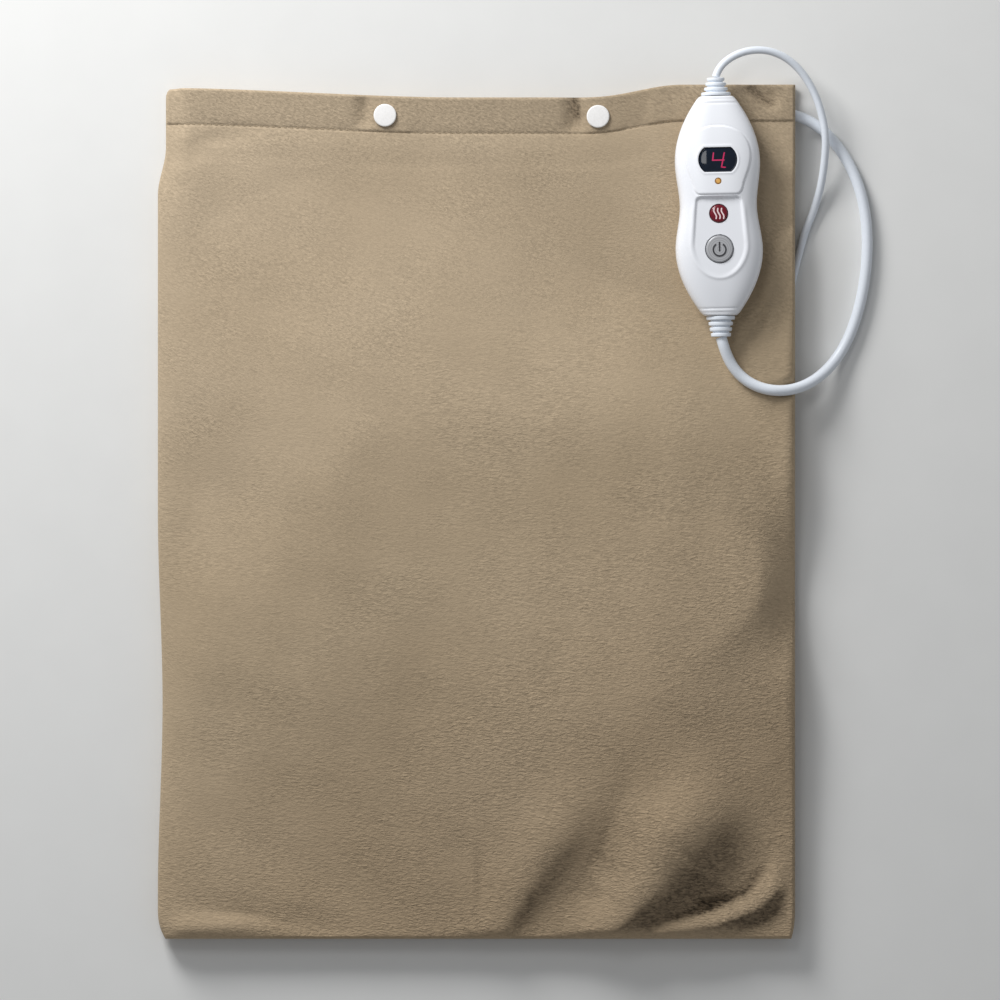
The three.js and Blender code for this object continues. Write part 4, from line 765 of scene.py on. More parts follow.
def draped_lift(x, y):
    """The same for the front panel, which hangs over coil and plug in one long, low swell."""
    apart = (away_from_coil(x, y), away_from_plug(x, y))
    near = -DRAPE_BLEND * np.log(sum(np.exp(-away / DRAPE_BLEND) for away in apart))
    to_hem = step(y, PLUG_Y, PLUG_Y + 80) * (1 - step(x, -10, 70))
    to_foot = step(-y, -PLUG_Y, -PLUG_Y + 90) * (1 - 0.55 * step(x, 30, 110))
    reach = DRAPE_REACH + DRAPE_TO_HEM * to_hem + DRAPE_TO_FOOT * to_foot
    share = np.clip((near - RIDE_MARGIN) / reach, 0, 1)
    sloping = swell(y - SIDE_SLOPE_AT, SIDE_SLOPE_REACH)
    brink = np.where(x > 0, RIGHT_BRINK + (SLOPE_BRINK - RIGHT_BRINK) * sloping, LEFT_BRINK)
    turn = rounding(HALF_WIDTH - x, SIDE_TURN)
    stands = SIDE_STAND * (1 - sloping) * step(x, 0, 100) * turn
    hang = stands + (1 - stands) * np.sin(np.pi / 2 * np.clip(from_edge(x, y) / brink, 0, 1))
    crested = (np.hypot(share, DRAPE_CREST) - DRAPE_CREST) / (math.hypot(1, DRAPE_CREST) - DRAPE_CREST)
    fall = 1 - (crested + step(share, 0, 1)) / 2
    height = PLUG_TOP + CLEARANCE - 3 * step(x, 75, 130)
    away = to_line(x, y, UNDER_LINE)[0]
    over_lead = ride(np.abs(away), LEAD_RISE, np.where(away < 0, 12, LEAD_MARGIN), np.where(away < 0, 36, 60))
    return np.maximum(height * fall * hang, over_lead * turn * (1 - sloping) * (1 - step(y, 70, 115)))


def filled_at(x, y):
    sides = step(HALF_WIDTH - np.abs(x), 0, RIM_REACH)
    ends = np.minimum(step(y + HALF_LENGTH, 0, RIM_REACH), step(HEM_SEAM - y, 0, RIM_REACH))
    return np.minimum(sides, ends)


def pocket_at(x, y):
    across = step(x, POCKET_LEFT, POCKET_LEFT + POCKET_FADE)
    return across * step(y, POCKET_BOTTOM, POCKET_BOTTOM + POCKET_FADE)


def stud_at(x, y):
    nearest = np.minimum(*[np.abs(x - at) for at in STUD_AT])
    return step(y, HEM_SEAM - INSERT_MARGIN, HEM_SEAM) * (1 - step(nearest, STUD_FLAT, STUD_FLAT + 20))


def space_at(x, y):
    inside = (CAVITY - RIM_GAP) * np.maximum(filled_at(x, y), pocket_at(x, y))
    return RIM_GAP + np.maximum(inside, (STUD_SPACE - RIM_GAP) * stud_at(x, y))


def rim_lift(x, y):
    return RIM_LIFT * (1 - filled_at(x, y)) * (1 - pocket_at(x, y))


def underside_at(x, y):
    return np.maximum(rim_lift(x, y), lift_at(x, y))


def cloth_at(y):
    return CLOTH + (HEM_CLOTH - CLOTH) * step(y, HEM_SEAM - 0.4, HEM_SEAM + 0.4)


# Folds and dips of the front panel: crest line, then height and half width to its left and right along it.
FOLDS = [
    ([(8, -201), (13, -192), (22, -175), (33, -158), (47, -140), (57, -129)],
     (2.6, 4.6, 4.1, 1.4), (14, 18), (7, 12.5, 16)),
    ([(58, -201), (72, -188), (83, -173), (91, -156), (106, -142), (126, -128)],
     (5.5, 11.4, 12.8, 11, 1.6), (14, 24), (5, 11, 20, 27, 28, 24, 18)),
    ([(64, -201), (82, -197.5), (98, -195), (113, -192.3), (131, -185), (144, -174.5), (150, -163)],
     (3, 5, 5, 4.8, 2), (6, 9), (5, 6)),
    ([(-146, -195), (-110, -193.5), (-80, -196)], (1.8, 1.8, 0), (5,), (5,)),
]
DIPS = [
    ([(-136, -183), (-112, -187.5), (-86, -191.5), (-60, -195)], (0.2, 1, 1, 0.4), (5,), (5,)),
    ([(-142, 168), (-122, 177), (-100, 181)], (0.8, 0.2), (5,), (5,)),
    ([(-53, 188), (-53, 196)], (1,), (3.5,), (3.5,)),
    ([(47, 188), (45.5, 199)], (1.9,), (4,), (4.5,)),
    ([(131, 198), (139, 193)], (1.6,), (4,), (4,)),
]
FOLD_ROOM, HEM_ROOM = 0.25, 1.5
HEM_LEVEL, HEM_TILT = 12.4, 0.05
HEM_FROM, HEM_FULL = 140, 168
RIM_RISE = 4.9
RIM_TURN = 1.6
LEFT_TURN = 17
CORD_ON_PAD = lead_line[6:31:4]


def crease(x, y, line, *shape):
    away, share = to_line(x, y, line)
    height, left, right = (np.interp(share, np.linspace(0, 1, len(v)), v) for v in shape)
    return height * bell(away, np.where(away < 0, left, right))


def slack_at(x, y):
    """The small unevenness of cloth that lies loose."""
    wide = 0.2 * np.sin(x / 17 + 1.3 * np.sin(y / 31)) * np.sin(y / 23 + 0.9 * np.sin(x / 37))
    return wide + 0.12 * np.sin(x / 7.3 + y / 11.9) * np.sin(y / 9.1 - x / 15)


def under_cord(x, y):
    """The height that the lead leaves to the front panel where it crosses the pad."""
    away, share = to_line(x, y, CORD_ON_PAD[:, :2])
    run = run_of(CORD_ON_PAD[:, :2])
    return np.interp(share, run / run[-1], CORD_ON_PAD[:, 2]) - LEAD_DIAMETER / 2 - CLEARANCE + away**2 / 6


def bridging(x, y):
    """How far the front panel stands off the insert: over coil and plug, at the rims, and in the hem."""
    over = np.maximum(draped_lift(x, y) + rim_lift(x, y) - underside_at(x, y), 0)
    left, rim = HALF_WIDTH + x, np.minimum(HALF_WIDTH - x, y + HALF_LENGTH)
    sloping = swell(y - SIDE_SLOPE_AT, SIDE_SLOPE_REACH) * step(x, 0, 100)
    edge = np.minimum(rounding(left, LEFT_TURN), rounding(rim, RIM_TURN))
    turn = RIM_RISE * np.maximum(edge - step(from_edge(x, y), 0, RIM_REACH), 0) * (1 - sloping)
    level = HEM_LEVEL - 0.4 * step(y, HEM_SEAM - 9, HEM_SEAM) + HEM_TILT * np.maximum(y - HEM_SEAM, 0)
    flat = underside_at(x, y) + 2 * cloth_at(y) + space_at(x, y)
    by_hem = step(y, HEM_FROM, HEM_FULL)
    hem = np.maximum(0, level - flat) * by_hem * step(HALF_WIDTH - np.abs(x), 0, 12)
    made = over + np.maximum(turn * (1 - by_hem), hem)
    return np.clip(under_cord(x, y) - flat, 0, made)


def folds_at(x, y):
    """Height that creases and the slack of the cloth add to the front panel."""
    made = np.zeros(np.shape(x))
    for fold in FOLDS:
        made = np.maximum(made, crease(x, y, *fold))
    for dip in DIPS:
        made = made - crease(x, y, *dip)
    inner = step(HALF_WIDTH - np.abs(x), 0, 12) * step(y + HALF_LENGTH, 0, 4)
    return (made + slack_at(x, y)) * inner


def front_under_at(x, y):
    room = FOLD_ROOM + HEM_ROOM * step(y, HEM_SEAM - INSERT_MARGIN, HEM_SEAM - 3)
    made = underside_at(x, y) + cloth_at(y) + space_at(x, y) + bridging(x, y)
    return made + np.maximum(folds_at(x, y), -room)


def seam_groove(x, y):
    """The furrow of the seam: a sharp one in a wide one, shallower under the controller."""
    deep = 0.3 * bell(y - HEM_SEAM, 0.6) + 0.18 * bell(y - HEM_SEAM, 2.4)
    return deep * (1 - 0.65 * step(x, 85, 120))


EDGE = 0.12
PRESSED, PRESSED_MOST = 0.75, 1.4


def lipped(under, over, y):
    """The two surfaces of a panel, rounded to each other at the hem's edge."""
    middle, half = (under + over) / 2, (over - under) / 2
    half = EDGE / 2 + (half - EDGE / 2) * rounding(HALF_LENGTH - y, HEM_CLOTH / 2)
    return middle - half, middle + half


def front_surfaces(x, y):
    under = front_under_at(x, y)
    thick = cloth_at(y) - seam_groove(x, y) + PRESSED * np.clip(folds_at(x, y), -PRESSED_MOST, 0)
    return lipped(under, under + EDGE + (thick - EDGE) * rounding(from_edge(x, y), RIM_TURN), y)


def back_surfaces(x, y):
    over = underside_at(x, y) + cloth_at(y)
    return lipped(over - EDGE - (cloth_at(y) - EDGE) * rounding(from_edge(x, y), CLOTH), over, y)


def lines(low, high, pitch, rim, *extra):
    """Grid lines from low to high, closer together in the rounded rims and where extra ones are asked for."""
    arc = rim * (1 - np.cos(np.linspace(0, np.pi / 2, 13)[:-1]))
    even = np.linspace(low + rim, high - rim, round((high - low - 2 * rim) / pitch) + 1)
    values = np.unique(np.concatenate([low + arc, even, high - arc, *extra]))
    return values[np.concatenate([[True], np.diff(values) > 0.03])]


def sheet(across, along, surfaces):
    x, y = np.meshgrid(across, along)
    px, py = drawn_in(x, y)
    low, high = surfaces(x, y)
    return skin(xyz(px, py, low), xyz(px, py, high))


fleece()
CLOTH_SHARP = 60
ACROSS = lines(-HALF_WIDTH, HALF_WIDTH, 1.8, RIM_TURN)
ALONG = lines(-HALF_LENGTH, HALF_LENGTH, 1.8, RIM_TURN, np.arange(HEM_SEAM - 3, HEM_SEAM + 3.01, 0.4))
front = make_object(
    "front_panel_fleece", sheet(ACROSS, ALONG, front_surfaces), "fleece", "cover_front_panel",
    sharp=CLOTH_SHARP,
)
back = make_object(
    "back_panel_fleece", sheet(ACROSS[::2], ALONG[::2], back_surfaces), "fleece", "cover_back_panel",
    sharp=CLOTH_SHARP,
)
SIDES = ("left", "right")
STUD_RADIUS, POST_RADIUS, STUD_HOLE = 5.35, 1.1, 1.4
# Reach, slope step and strength of the painted crease shade.
CREASE_REACH = 9
FALL_STEP = (1.2, 1.6)
MOST_PAINTED_SHADE = 0.9


def paint_crease_shade(obj):
    """Paints shade into an attribute: darker in creases and on a fold's side that falls away from the key
    light, and a little darker over the hem band, more to the right.
    """
    at = np.zeros(3 * len(obj.data.vertices))
    obj.data.vertices.foreach_get("co", at)
    x, y = (at.reshape(-1, 3) / MM).T[:2]
    # Creases, where a point lies below the heights round it, get painted shade.
    turns = np.arange(8) * math.pi / 4
    beside = [folds_at(x + CREASE_REACH * math.cos(a), y + CREASE_REACH * math.sin(a)) for a in turns]
    depth = np.mean(beside, axis=0) - folds_at(x, y)
    dx, dy = FALL_STEP
    # Painted shade on slopes that fall away from the key light.
    fall = (folds_at(x - dx, y + dy) - folds_at(x + dx, y - dy)) / (2 * math.hypot(dx, dy))
    painted_shade = MOST_PAINTED_SHADE * step(depth, 0.5, 2.2) + 0.6 * step(fall, 0.1, 0.45)
    painted_shade = painted_shade * step(from_edge(x, y), 2, 8)
    on_hem = step(y - drawn_in(x, HEM_SEAM)[1], -0.3, 0.3)
    painted_shade = np.minimum(painted_shade + on_hem * (0.06 + 0.1 * step(x, -60, 60)), MOST_PAINTED_SHADE)
    # The attribute named crease carries the painted shade to the fleece.
    obj.data.attributes.new("crease", "FLOAT", "POINT").data.foreach_set("value", painted_shade)


def stud_box(side):
    """Middle, bottom and top of the place of a press stud's cap."""
    low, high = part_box(f"snap_cap_{side}")
    return (low.x + high.x) / 2 / MM, (low.y + high.y) / 2 / MM, low.z / MM, high.z / MM


for panel in (front, back):
    for side in SIDES:
        carve(panel, moved(rod(STUD_HOLE, -5, 40, 24), *stud_box(side)[:2]))
    panel.data.shade_smooth()
# Painted shade for the front panel's fleece.
paint_crease_shade(front)


# Heating insert inside the cover, sewn down between the runs of its wire.

INSERT_HALF = HALF_WIDTH - INSERT_MARGIN
INSERT_BOTTOM = INSERT_MARGIN - HALF_LENGTH
INSERT_TOP = HEM_SEAM - INSERT_MARGIN
INSERT_LOFT = 1.55
QUILT_PITCH, QUILT_DEPTH, QUILT_WIDTH = 34.6, 0.7, 2.2


def wire_room(x, y):
    return np.maximum(SEAT, space_at(x, y) - 2 * (INSERT_LAYER + SEAT)) / 2


def quilting(x):
    return QUILT_DEPTH * bell(x - QUILT_PITCH * np.round(x / QUILT_PITCH), QUILT_WIDTH)


def insert_layer(up):
    def surfaces(x, y):
        middle = underside_at(x, y) + cloth_at(y) + space_at(x, y) / 2
        inner = middle + up * wire_room(x, y)
        outer = inner + up * (INSERT_LOFT - quilting(x))
        return (inner, outer) if up > 0 else (outer, inner)

    return surfaces


plain("padding", rgb(232, 226, 214), 0.95, 700, 0.06, sheen_weight=0.1)
insert_across = lines(-INSERT_HALF, INSERT_HALF, 2.4, 1)
insert_along = lines(INSERT_BOTTOM, INSERT_TOP, 2.4, 1)
for name, up in (("top", 1), ("bottom", -1)):
    layer = make_object(
        f"insert_{name}_padding", sheet(insert_across, insert_along, insert_layer(up)), "padding",
        f"insert_{name}_layer", sharp=CLOTH_SHARP,
    )


# Hem stitching and press studs.

def stitches():
    """A row of short threads sunk in the hem's seam."""
    pitch, length, width = 2.9, 2.2, 0.36
    starts = np.arange(-HALF_WIDTH + 5, HALF_WIDTH - 4, pitch)[:, None]
    x = starts + np.linspace(-length / 2, length / 2, 7)
    y = np.full(x.shape, float(HEM_SEAM))
    px, py = drawn_in(x, y)
    pz = front_surfaces(x, y)[1] + 0.16 * np.sin(np.linspace(0, np.pi, 7)) - 0.1
    angle = circle(6)
    taper = np.array([0.35, 0.8, 1, 1, 1, 0.8, 0.35])[:, None] * width / 2
    px, py, pz = (p[..., None] for p in (px, py, pz))
    return bundle(map(loft, xyz(px, py + taper * np.cos(angle), pz + taper * np.sin(angle))))


plain("thread", rgb(160, 143, 118), 0.85, 2400, 0.15)
make_object("hem_stitching", stitches(), "thread", slot="fleece")

plain("white_stud", rgb(247, 245, 243), 0.3)
for side in SIDES:
    x, y, bottom, top = stud_box(side)
    rim = top - 1.2
    cap = soften([
        [0, bottom], [POST_RADIUS, bottom], [POST_RADIUS, rim], [STUD_RADIUS, rim],
        [STUD_RADIUS, top - 0.35], [STUD_RADIUS - 0.45, top - 0.06], [0, top],
    ], 0.25)
    make_object(f"snap_face_{side}", moved(turned(cap, 72), x, y), "white_stud", f"snap_cap_{side}")


# Controller housing.

UPPER_LOBE, LOWER_LOBE, WAIST, END_WIDTH = 40, 41, 36.2, 16.2
LOBE_AT = 20.5
END_SLOPE = 0.76
CROWN, END_CROWN, CROWN_POWER = 11.5, 6, 2.4
BELLY, END_BELLY, BELLY_POWER = 9, 5.5, 4
TOP_ROUNDING, BOTTOM_ROUNDING = 2.8, 3.5
WALL, END_WALL = 2, 2.4
CEILING = 15.6
DISPLAY_CEILING = 17.4
PANEL_RISE = 0.6
PANEL_TOP, PANEL_BOTTOM = 37.4, 5.4
PANEL_WIDTH, PANEL_FOOT, PANEL_WIDEST = 30.8, 22.6, 23.8
KEYPAD_TOP, KEYPAD_BOTTOM = 4.4, -33.1
KEYPAD_WIDTH, KEYPAD_HEAD, KEYPAD_WIDEST = 25.2, 22.2, -18
KEYPAD_FLOOR = 17.6
RECESS_FLOOR = 18.1
CORNER = 3.2
PANEL_GROOVE, KEYPAD_LIP, WINDOW_LIP, END_GROOVE = 0.12, 0.28, 0.22, 0.25
END_LINES = (48.2, 50.1)
WINDOW_AT = 21.5
WINDOW_WIDTH, WINDOW_HEIGHT, WINDOW_FLAT = 18.2, 11.5, 12.4
LIGHT_AT = 11.4
LIGHT_RADIUS = 1.5
HEAT_RADIUS, POWER_RADIUS = 4.15, 6.4
KEY_GAP = 0.3
KEY_FOOT, KEY_STEM, KEY_FLANGE = 12.7, 2, 1.2
HEAT_PROUD, POWER_PROUD, POWER_DISH = 1.0, 1.3, 0.1
RELIEF_NECK, RELIEF_FLAT = 3.6, 0.85
ROOM_X, ROOM_Y = 12.1, 8.75
END_ROUNDING = 1.5
SHELL_SHARP = 32
SQUARE = ((-1, -1), (1, -1), (1, 1), (-1, 1))
OUTLINE = [
    (-HOUSING_HALF, END_WIDTH / 2, END_SLOPE),
    (-LOBE_AT, LOWER_LOBE / 2, 0),
    (0, WAIST / 2, 0),
    (LOBE_AT, UPPER_LOBE / 2, 0),
    (HOUSING_HALF, END_WIDTH / 2, -END_SLOPE),
]


def half_width(y):
    y = np.asarray(y, float)
    made = np.zeros_like(y)
    for (y0, w0, m0), (y1, w1, m1) in zip(OUTLINE, OUTLINE[1:]):
        span = y1 - y0
        t = np.clip((y - y0) / span, 0, 1)
        s = 1 - t
        value = w0 * s * s * (1 + 2 * t) + w1 * t * t * (1 + 2 * s) + span * s * t * (m0 * s - m1 * t)
        made = np.where((y >= y0) & (y <= y1), value, made)
    return made


def domed(y, middle, end, power):
    """A height that falls off from the middle of the housing to its ends."""
    return end + (middle - end) * (1 - np.minimum(np.abs(y) / HOUSING_HALF, 1) ** power)


def crown(y):
    return domed(y, CROWN, END_CROWN, CROWN_POWER)


def belly(y):
    return domed(y, BELLY, END_BELLY, BELLY_POWER)


def arched(share, power):
    return (1 - np.abs(share) ** power) ** (1 / power)


def crown_at(x, y):
    return PARTING + crown(y) * arched(np.clip(x / half_width(y), -1, 1), TOP_ROUNDING)


def bezier(*points, steps=14):
    """A curve from the first point up to, but without, the last; between two points only the first."""
    t = np.linspace(0, 1, steps if len(points) > 2 else 1, endpoint=False)[:, None]
    made = [np.array(p, float) for p in points]
    while len(made) > 1:
        made = [(1 - t) * a + t * b for a, b in zip(made, made[1:])]
    return made[0]


def mirrored(half):
    """A closed outline from its right half, which runs between two points on the middle line."""
    half = np.asarray(half)
    return np.concatenate([half, (half * [-1, 1])[::-1][1:-1]])


def panel_outline():
    half, foot, corner = PANEL_WIDTH / 2, PANEL_FOOT / 2, PANEL_BOTTOM + CORNER
    return mirrored(np.concatenate([
        [[0, PANEL_BOTTOM]],
        bezier((foot - CORNER, PANEL_BOTTOM), (foot - 0.6, PANEL_BOTTOM), (foot, corner)),
        bezier((foot, corner), (foot + 1, PANEL_BOTTOM + 8), (half, PANEL_WIDEST - 6), (half, PANEL_WIDEST)),
        bezier((half, PANEL_WIDEST), (half, PANEL_WIDEST + 8), (half * 0.6, PANEL_TOP), (0, PANEL_TOP)),
        [[0, PANEL_TOP]],
    ]))


def keypad_outline():
    half, head, corner = KEYPAD_WIDTH / 2, KEYPAD_HEAD / 2, KEYPAD_TOP - CORNER
    foot, widest = KEYPAD_BOTTOM, KEYPAD_WIDEST
    return mirrored(np.concatenate([
        bezier((0, foot), (half * 0.6, foot), (half, widest - 7), (half, widest)),
        bezier((half, widest), (head, corner)),
        bezier((head, corner), (head, KEYPAD_TOP), (head - CORNER, KEYPAD_TOP)),
        [[head - CORNER, KEYPAD_TOP], [0, KEYPAD_TOP]],
    ]))


def window_outline(grow=0.0, steps=24):
    flat, high = WINDOW_FLAT / 2, WINDOW_HEIGHT / 2
    bow = WINDOW_WIDTH / 2 - flat
    radius = (high * high + bow * bow) / (2 * bow) + grow
    centre = WINDOW_WIDTH / 2 + grow - radius
    sweep = math.asin((high + grow) / radius)
    angle = np.linspace(-sweep, sweep, steps)
    right = xyz(centre + radius * np.cos(angle), WINDOW_AT + radius * np.sin(angle))
    half = np.concatenate([right, np.linspace(right[-1], right[-1] * [-1, 1], 12)[1:-1]])
    return np.concatenate([half, [0, 2 * WINDOW_AT] - half])


def depth_inside(x, y, outline):
    """Distance from an outline, positive inside it."""
    best = np.full(np.shape(x), 1e9)
    inside = np.zeros(np.shape(x), bool)
    for start, end in zip(outline, np.roll(outline, -1, axis=0)):
        best = np.minimum(best, to_segment(x, y, start, end)[0])
        (ax, ay), (bx, by) = start, end
        if ay != by:
            inside ^= ((ay > y) != (by > y)) & (x < ax + (y - ay) * (bx - ax) / (by - ay))
    return np.where(inside, best, -best)


def face_at(x, y):
    """Top of the upper shell, with its raised panel, its sunk keypad and the lips round them."""
    outlines = (panel_outline(), keypad_outline(), window_outline())
    panel, keypad, window = (depth_inside(x, y, outline) for outline in outlines)
    z = crown_at(x, y) + PANEL_RISE * step(panel, -0.35, 0.35) - PANEL_GROOVE * bell(panel + 0.55, 0.3)
    z = z + KEYPAD_LIP * bell(keypad + 0.9, 0.75) * step(-y, -2.5, 3) + WINDOW_LIP * bell(window + 0.75, 0.4)
    for line in END_LINES:
        z = z - END_GROOVE * bell(np.abs(y) - line, 0.4)
    sunk = step(keypad, -0.25, 1.15)
    return np.where(z > RECESS_FLOOR, z * (1 - sunk) + RECESS_FLOOR * sunk, z)


EDGE_ANGLES = np.radians([0, 0.12, 0.35, 0.75, 1.4, 2.3, 3.6, 5.5, 8, 11.5, 16])


def ring_shares(power, count):
    """Places across a section from -1 to 1, closest together at its steep edges."""
    edge = np.cos(EDGE_ANGLES) ** (2 / power)
    middle = np.linspace(-edge[-1], edge[-1], count)[1:-1]
    return np.concatenate([-edge, middle, edge[::-1]])


def stations(count):
    flat = HOUSING_HALF - END_ROUNDING
    end = HOUSING_HALF - END_ROUNDING * (1 - np.cos(np.linspace(0, np.pi / 2, 6)[:-1]))
    return np.concatenate([-end, np.linspace(-flat, flat, count), end[::-1]])


def end_taper(y):
    return 1 - 0.1 * (1 - rounding(HOUSING_HALF - np.abs(y), END_ROUNDING))


def shell_grid(count, across, power):
    """Points over the housing: their share of the way to the side, x, y, and their share of the height."""
    y, share = np.meshgrid(stations(count), ring_shares(power, across), indexing="ij")
    return share, half_width(y) * end_taper(y) * share, y, end_taper(y) * arched(share, power)


def upper_shell():
    share, x, y, arch = shell_grid(230, 104, TOP_ROUNDING)
    z = PARTING + crown(y) * arch
    z = np.where(np.abs(share) < 0.98, z + face_at(x, y) - crown_at(x, y), z)
    return loft(xyz(x, y, np.maximum(z, PARTING + SEAT / 2))[:, ::-1])


def inner_half(up):
    """The room inside a shell."""
    y = np.linspace(-1, 1, 40)[:, None] * (HOUSING_HALF - END_WALL)
    angle = np.linspace(0, np.pi, 33)[None, :]
    power, height = (TOP_ROUNDING, crown(y)) if up > 0 else (BOTTOM_ROUNDING, belly(y))
    x = (half_width(y) - WALL) * squared(np.cos(angle), power)
    z = PARTING + up * (height - WALL) * squared(np.maximum(np.sin(angle), 0), power)
    z = np.minimum(z, CEILING) if up > 0 else np.maximum(z, WALL)
    z[:, [0, -1]] -= up
    return loft(xyz(x, y, z))


def lower_shell():
    _, x, y, arch = shell_grid(120, 60, BOTTOM_ROUNDING)
    return loft(xyz(x, y, np.clip(PARTING - belly(y) * arch, 0, PARTING - SEAT / 2)))


def prism(outline, low, high):
    """A straight-walled solid on an outline that runs counter-clockwise."""
    count = len(outline)
    points = np.concatenate([np.column_stack([outline, np.full(count, z)]) for z in (low, high)])
    faces = [[k, ahead, ahead + count, k + count] for k, ahead in around(count)]
    return points, faces + [list(range(count))[::-1], list(range(count, 2 * count))]


def flared_hole(radius, y, rim, flare):
    """A round hole with a small chamfer at the height of its rim."""
    foot, top, wide = PARTING - 2, rim + 8, radius + flare
    profile = [[0, foot], [radius, foot], [radius, rim - flare], [wide, rim + 0.05], [wide, top], [0, top]]
    return moved(turned(profile, 72), 0, y)


def relief_hole(end):
    points, faces = rod(RELIEF_NECK + SEAT, -5, 5, 32)
    return along_y(points * [1, RELIEF_FLAT, 1]) + [0, end * HOUSING_HALF, PARTING], faces


def make_shell(name, shape, node, *cuts):
    shell = make_object(name, on_controller(shape), "white_case", node)
    carve(shell, *map(on_controller, [*cuts, relief_hole(1), relief_hole(-1)]))
    smooth_shading(shell, SHELL_SHARP)


plain(
    "white_case", rgb(246, 248, 253), 0.3, 2600, 0.008, 0.03, 0.00002, coat_weight=0.12, coat_roughness=0.14,
)
PANEL_FACE = PARTING + CROWN + PANEL_RISE
make_shell(
    "upper_shell_moulding", upper_shell(), "upper_shell",
    inner_half(1),
    prism([(ROOM_X * x, WINDOW_AT + ROOM_Y * y) for x, y in SQUARE], PARTING + 1, DISPLAY_CEILING),
    prism(window_outline(0.08), PARTING + 2, 40),
    flared_hole(LIGHT_RADIUS + 0.06, LIGHT_AT, PANEL_FACE - 0.15, 0.15),
    flared_hole(HEAT_RADIUS + KEY_GAP, HEAT_AT, RECESS_FLOOR, 0.25),
    flared_hole(POWER_RADIUS + KEY_GAP, POWER_AT, RECESS_FLOOR, 0.25),
)
make_shell("lower_shell_moulding", lower_shell(), "lower_shell", inner_half(-1))


# Display, light and keys.

BOW_ACROSS, BOW_ALONG, BOW_REACH = 0.36, 0.17, 4.9
LENS_DROP, LENS_ROLL, LENS_FOOT = 0.5, 1.6, 16.2


def window_top(x, y):
    """The window's face: bowed both ways, and rolled off at its edge."""
    edge = depth_inside(x, y, window_outline())
    bowed = BOW_ACROSS * (2 * np.abs(x) / WINDOW_WIDTH) ** 3 + BOW_ALONG * ((y - WINDOW_AT) / BOW_REACH) ** 2
    return crown_at(x, y) + PANEL_RISE - SEAT - LENS_DROP * (1 - rounding(edge, LENS_ROLL)) - bowed


def window_lens():
    """A lens with a rolled edge, on rings that shrink from its outline to its middle."""
    outline, centre = window_outline(), np.array([0, WINDOW_AT])
    rolled = 1 - 0.16 * (1 - np.cos(np.linspace(0, np.pi / 2, 8)))
    rings = [np.column_stack([outline, np.full(len(outline), LENS_FOOT)])]
    for share in np.concatenate([rolled, np.linspace(0.8, 0.02, 16)]):
        flat = centre + (outline - centre) * share
        rings.append(np.column_stack([flat, window_top(flat[:, 0], flat[:, 1])]))
    return loft(np.array(rings))


plain("dark_window", rgb(8, 21, 37), 0.06, 500, 0.2)
make_object("display_lens", on_controller(window_lens()), "dark_window", "display_window")

plain(
    "digit_glow", rgb(186, 34, 86), 0.4, 900, 0.05, 0,
    emission_strength=0.12, emission_color=rgb(226, 40, 104),
)
DIGIT = [
    ((-1.95, 3.1), (-2.35, 0.1)), ((-2.5, -0.3), (2.9, -0.3)),
    ((3.1, 3.05), (1.7, -3.5)), ((1.7, -3.6), (3.4, -3.75)),
]
segments = [np.linspace(start, end, 6) + [0, WINDOW_AT] for start, end in DIGIT]
digit = bundle([stroke(line, 0.62, 0.02, 0.05, window_top) for line in segments])
make_object("display_digit", on_controller(digit), "digit_glow", slot="red_key")

lit_amber()
PIPE_FOOT = 8.9
pipe = soften([
    [0, PIPE_FOOT], [LIGHT_RADIUS, PIPE_FOOT], [LIGHT_RADIUS, PANEL_FACE - 0.35], [1.05, PANEL_FACE - 0.02],
    [0, PANEL_FACE],
], 0.3)
pipe = moved(turned(pipe, 48), 0, LIGHT_AT)
make_object("light_lens", on_controller(pipe), "amber", "light_pipe")


def key(radius, proud, y, dish=0):
    """A key cap with a soft edge, its flange and its stem."""
    top = KEYPAD_FLOOR + proud
    ledge = CEILING - SEAT
    flange = ledge - KEY_FLANGE
    profile = [
        [0, KEY_FOOT], [KEY_STEM, KEY_FOOT], [KEY_STEM, flange], [radius + 1, flange], [radius + 1, ledge],
        [radius, ledge], [radius, top - 0.45], [radius - 0.5, top + 0.02],
        [radius * 0.7, top + 0.12 - dish], [0, top + 0.2 - dish],
    ]
    return on_controller(moved(turned(soften(profile, 0.35), 96), 0, y))


plain("red_key", rgb(114, 5, 27), 0.25, 1400, 0.06, 0, coat_weight=0.3)
key_grey()
heat_key = key(HEAT_RADIUS, HEAT_PROUD, HEAT_AT)
make_object("heat_key", heat_key, "red_key", "heat_button", body="heat_button")
power_key = key(POWER_RADIUS, POWER_PROUD, POWER_AT, POWER_DISH)
make_object("power_key", power_key, "grey_key", "power_button", body="power_button")

plain("pale_mark", rgb(250, 226, 226), 0.4)
plain("dark_mark", rgb(62, 62, 66), 0.4)


def heat_waves():
    t = np.linspace(-1, 1, 25)
    made = []
    for offset in (-1.75, 0, 1.75):
        x = offset + 0.34 * np.sin(np.pi * t) + 0.42 * t
        line = xyz(x, HEAT_AT - 2.35 * t)
        made.append(stroke(line, 0.62, KEYPAD_FLOOR + HEAT_PROUD + 0.17, 0.06))
    return on_controller(bundle(made))


def power_sign():
    radius = 2.95
    angle = np.radians(np.linspace(128, 412, 48))
    arc = xyz(radius * np.cos(angle), POWER_AT - 0.35 + radius * np.sin(angle))
    bar = np.linspace((0, POWER_AT + 3.0), (0, POWER_AT - 0.9), 6)
    base = KEYPAD_FLOOR + POWER_PROUD + 0.06
    return on_controller(bundle([stroke(line, 0.78, base, 0.07) for line in (arc, bar)]))


make_object("heat_sign", heat_waves(), "pale_mark", body="heat_button", slot="white_case")
make_object("power_sign", power_sign(), "dark_mark", body="power_button", slot="black_plastic")


# Ribbed strain reliefs.

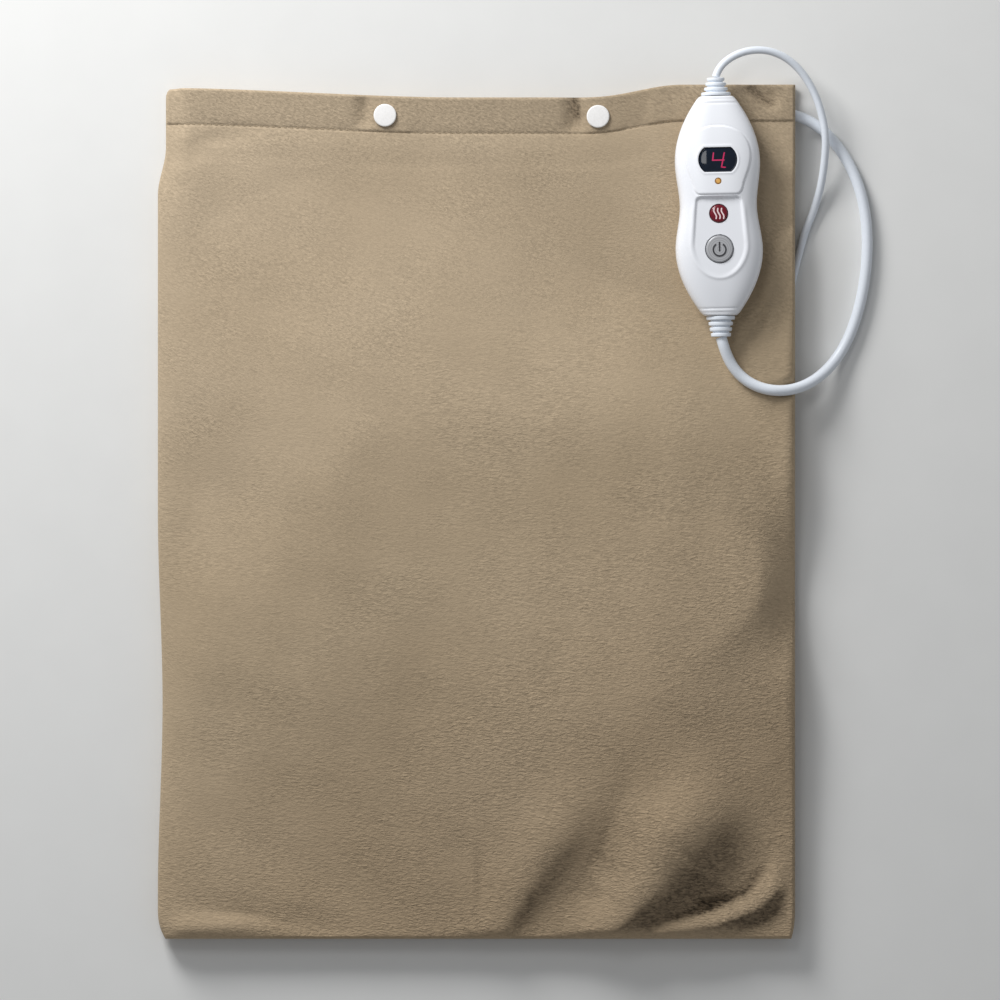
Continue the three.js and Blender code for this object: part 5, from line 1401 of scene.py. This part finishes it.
def strain_relief(ribs, pitch, end):
    """Ribs that get smaller outwards, on a neck through the end wall with a collar inside it."""
    start, collar, inside = -END_WALL - SEAT - 2, 4.9, -END_WALL - SEAT
    profile = [[0, start], [collar, start], [collar, inside], [RELIEF_NECK, inside], [RELIEF_NECK, SEAT]]
    for k, radius in enumerate(ribs):
        low = SEAT + k * pitch
        profile += [[radius, low], [radius - 0.12, low + pitch * 0.64]]
        if k + 1 < len(ribs):
            groove = ribs[k + 1] - 0.9
            profile += [[groove, low + pitch * 0.72], [groove, low + pitch * 0.98]]
    profile.append([0, profile[-1][1]])
    points, faces = turned(soften(profile, 0.42), 64)
    points = along_y(points * [1, RELIEF_FLAT, 1]) + [0, HOUSING_HALF, 0]
    return on_controller((points * [end, end, 1] + [0, 0, PARTING], faces))


RELIEFS = [
    ("mains_relief_ribs", [7, 5.6, 4.9, 4.2], 2.3, 1, "mains_strain_relief"),
    ("pad_relief_ribs", [6.8, 5.8, 5.3, 4.8], 2.65, -1, "pad_strain_relief"),
]
for name, ribs, pitch, end, node in RELIEFS:
    make_object(name, strain_relief(ribs, pitch, end), "white_cord", node)


# Finishes of the solids that stay as they are.

plain("wire_coat", rgb(201, 180, 140), 0.6)
plain("board_green", rgb(47, 107, 69), 0.5, 600, 0.12)
plain("yellow_plastic", rgb(216, 178, 74), 0.5)
plain("green_plastic", rgb(63, 143, 90), 0.5)
plain("steel", rgb(186, 189, 193), 0.35, 1500, 0.08, metallic=1.0)
plain("brass", rgb(196, 165, 92), 0.3, 1500, 0.08, metallic=1.0)
for part in frame["record"]["subparts"]:
    mesh = nodes[part["node"]].data
    mesh.materials.clear()
    mesh.materials.append(finishes[part["material_slot"]])


# Floor and light.

def make_stage():
    reach = 6000
    floor = add_mesh("floor", [(reach * x, reach * y, 0) for x, y in SQUARE], [(0, 1, 2, 3)])
    floor.location.z = -0.0002
    plain("floor", rgb(232, 232, 230), 0.9, 40, 0.01)
    floor.data.materials.append(finishes["floor"])


def area_light(name, place, target, size, power):
    data = bpy.data.lights.new(name, "AREA")
    data.size = size
    data.energy = power
    light = add_object(name, data)
    light.location = place
    light.rotation_euler = (Vector(target) - Vector(place)).to_track_quat("-Z", "Y").to_euler()


make_stage()
area_light("key_light", (-0.55, 0.95, 0.6), (0.0, 0.0, 0), 0.5, 14.6)
area_light("glint_light", (-0.229, 0.428, 1.035), (-0.2289, 0.4283, 0), 0.32, 1.15)
world = bpy.data.worlds.new("studio")
world.use_nodes = True
background = world.node_tree.nodes["Background"]
background.inputs["Color"].default_value = (0.95, 0.97, 1, 1)
background.inputs["Strength"].default_value = 0.27
scene.world = world
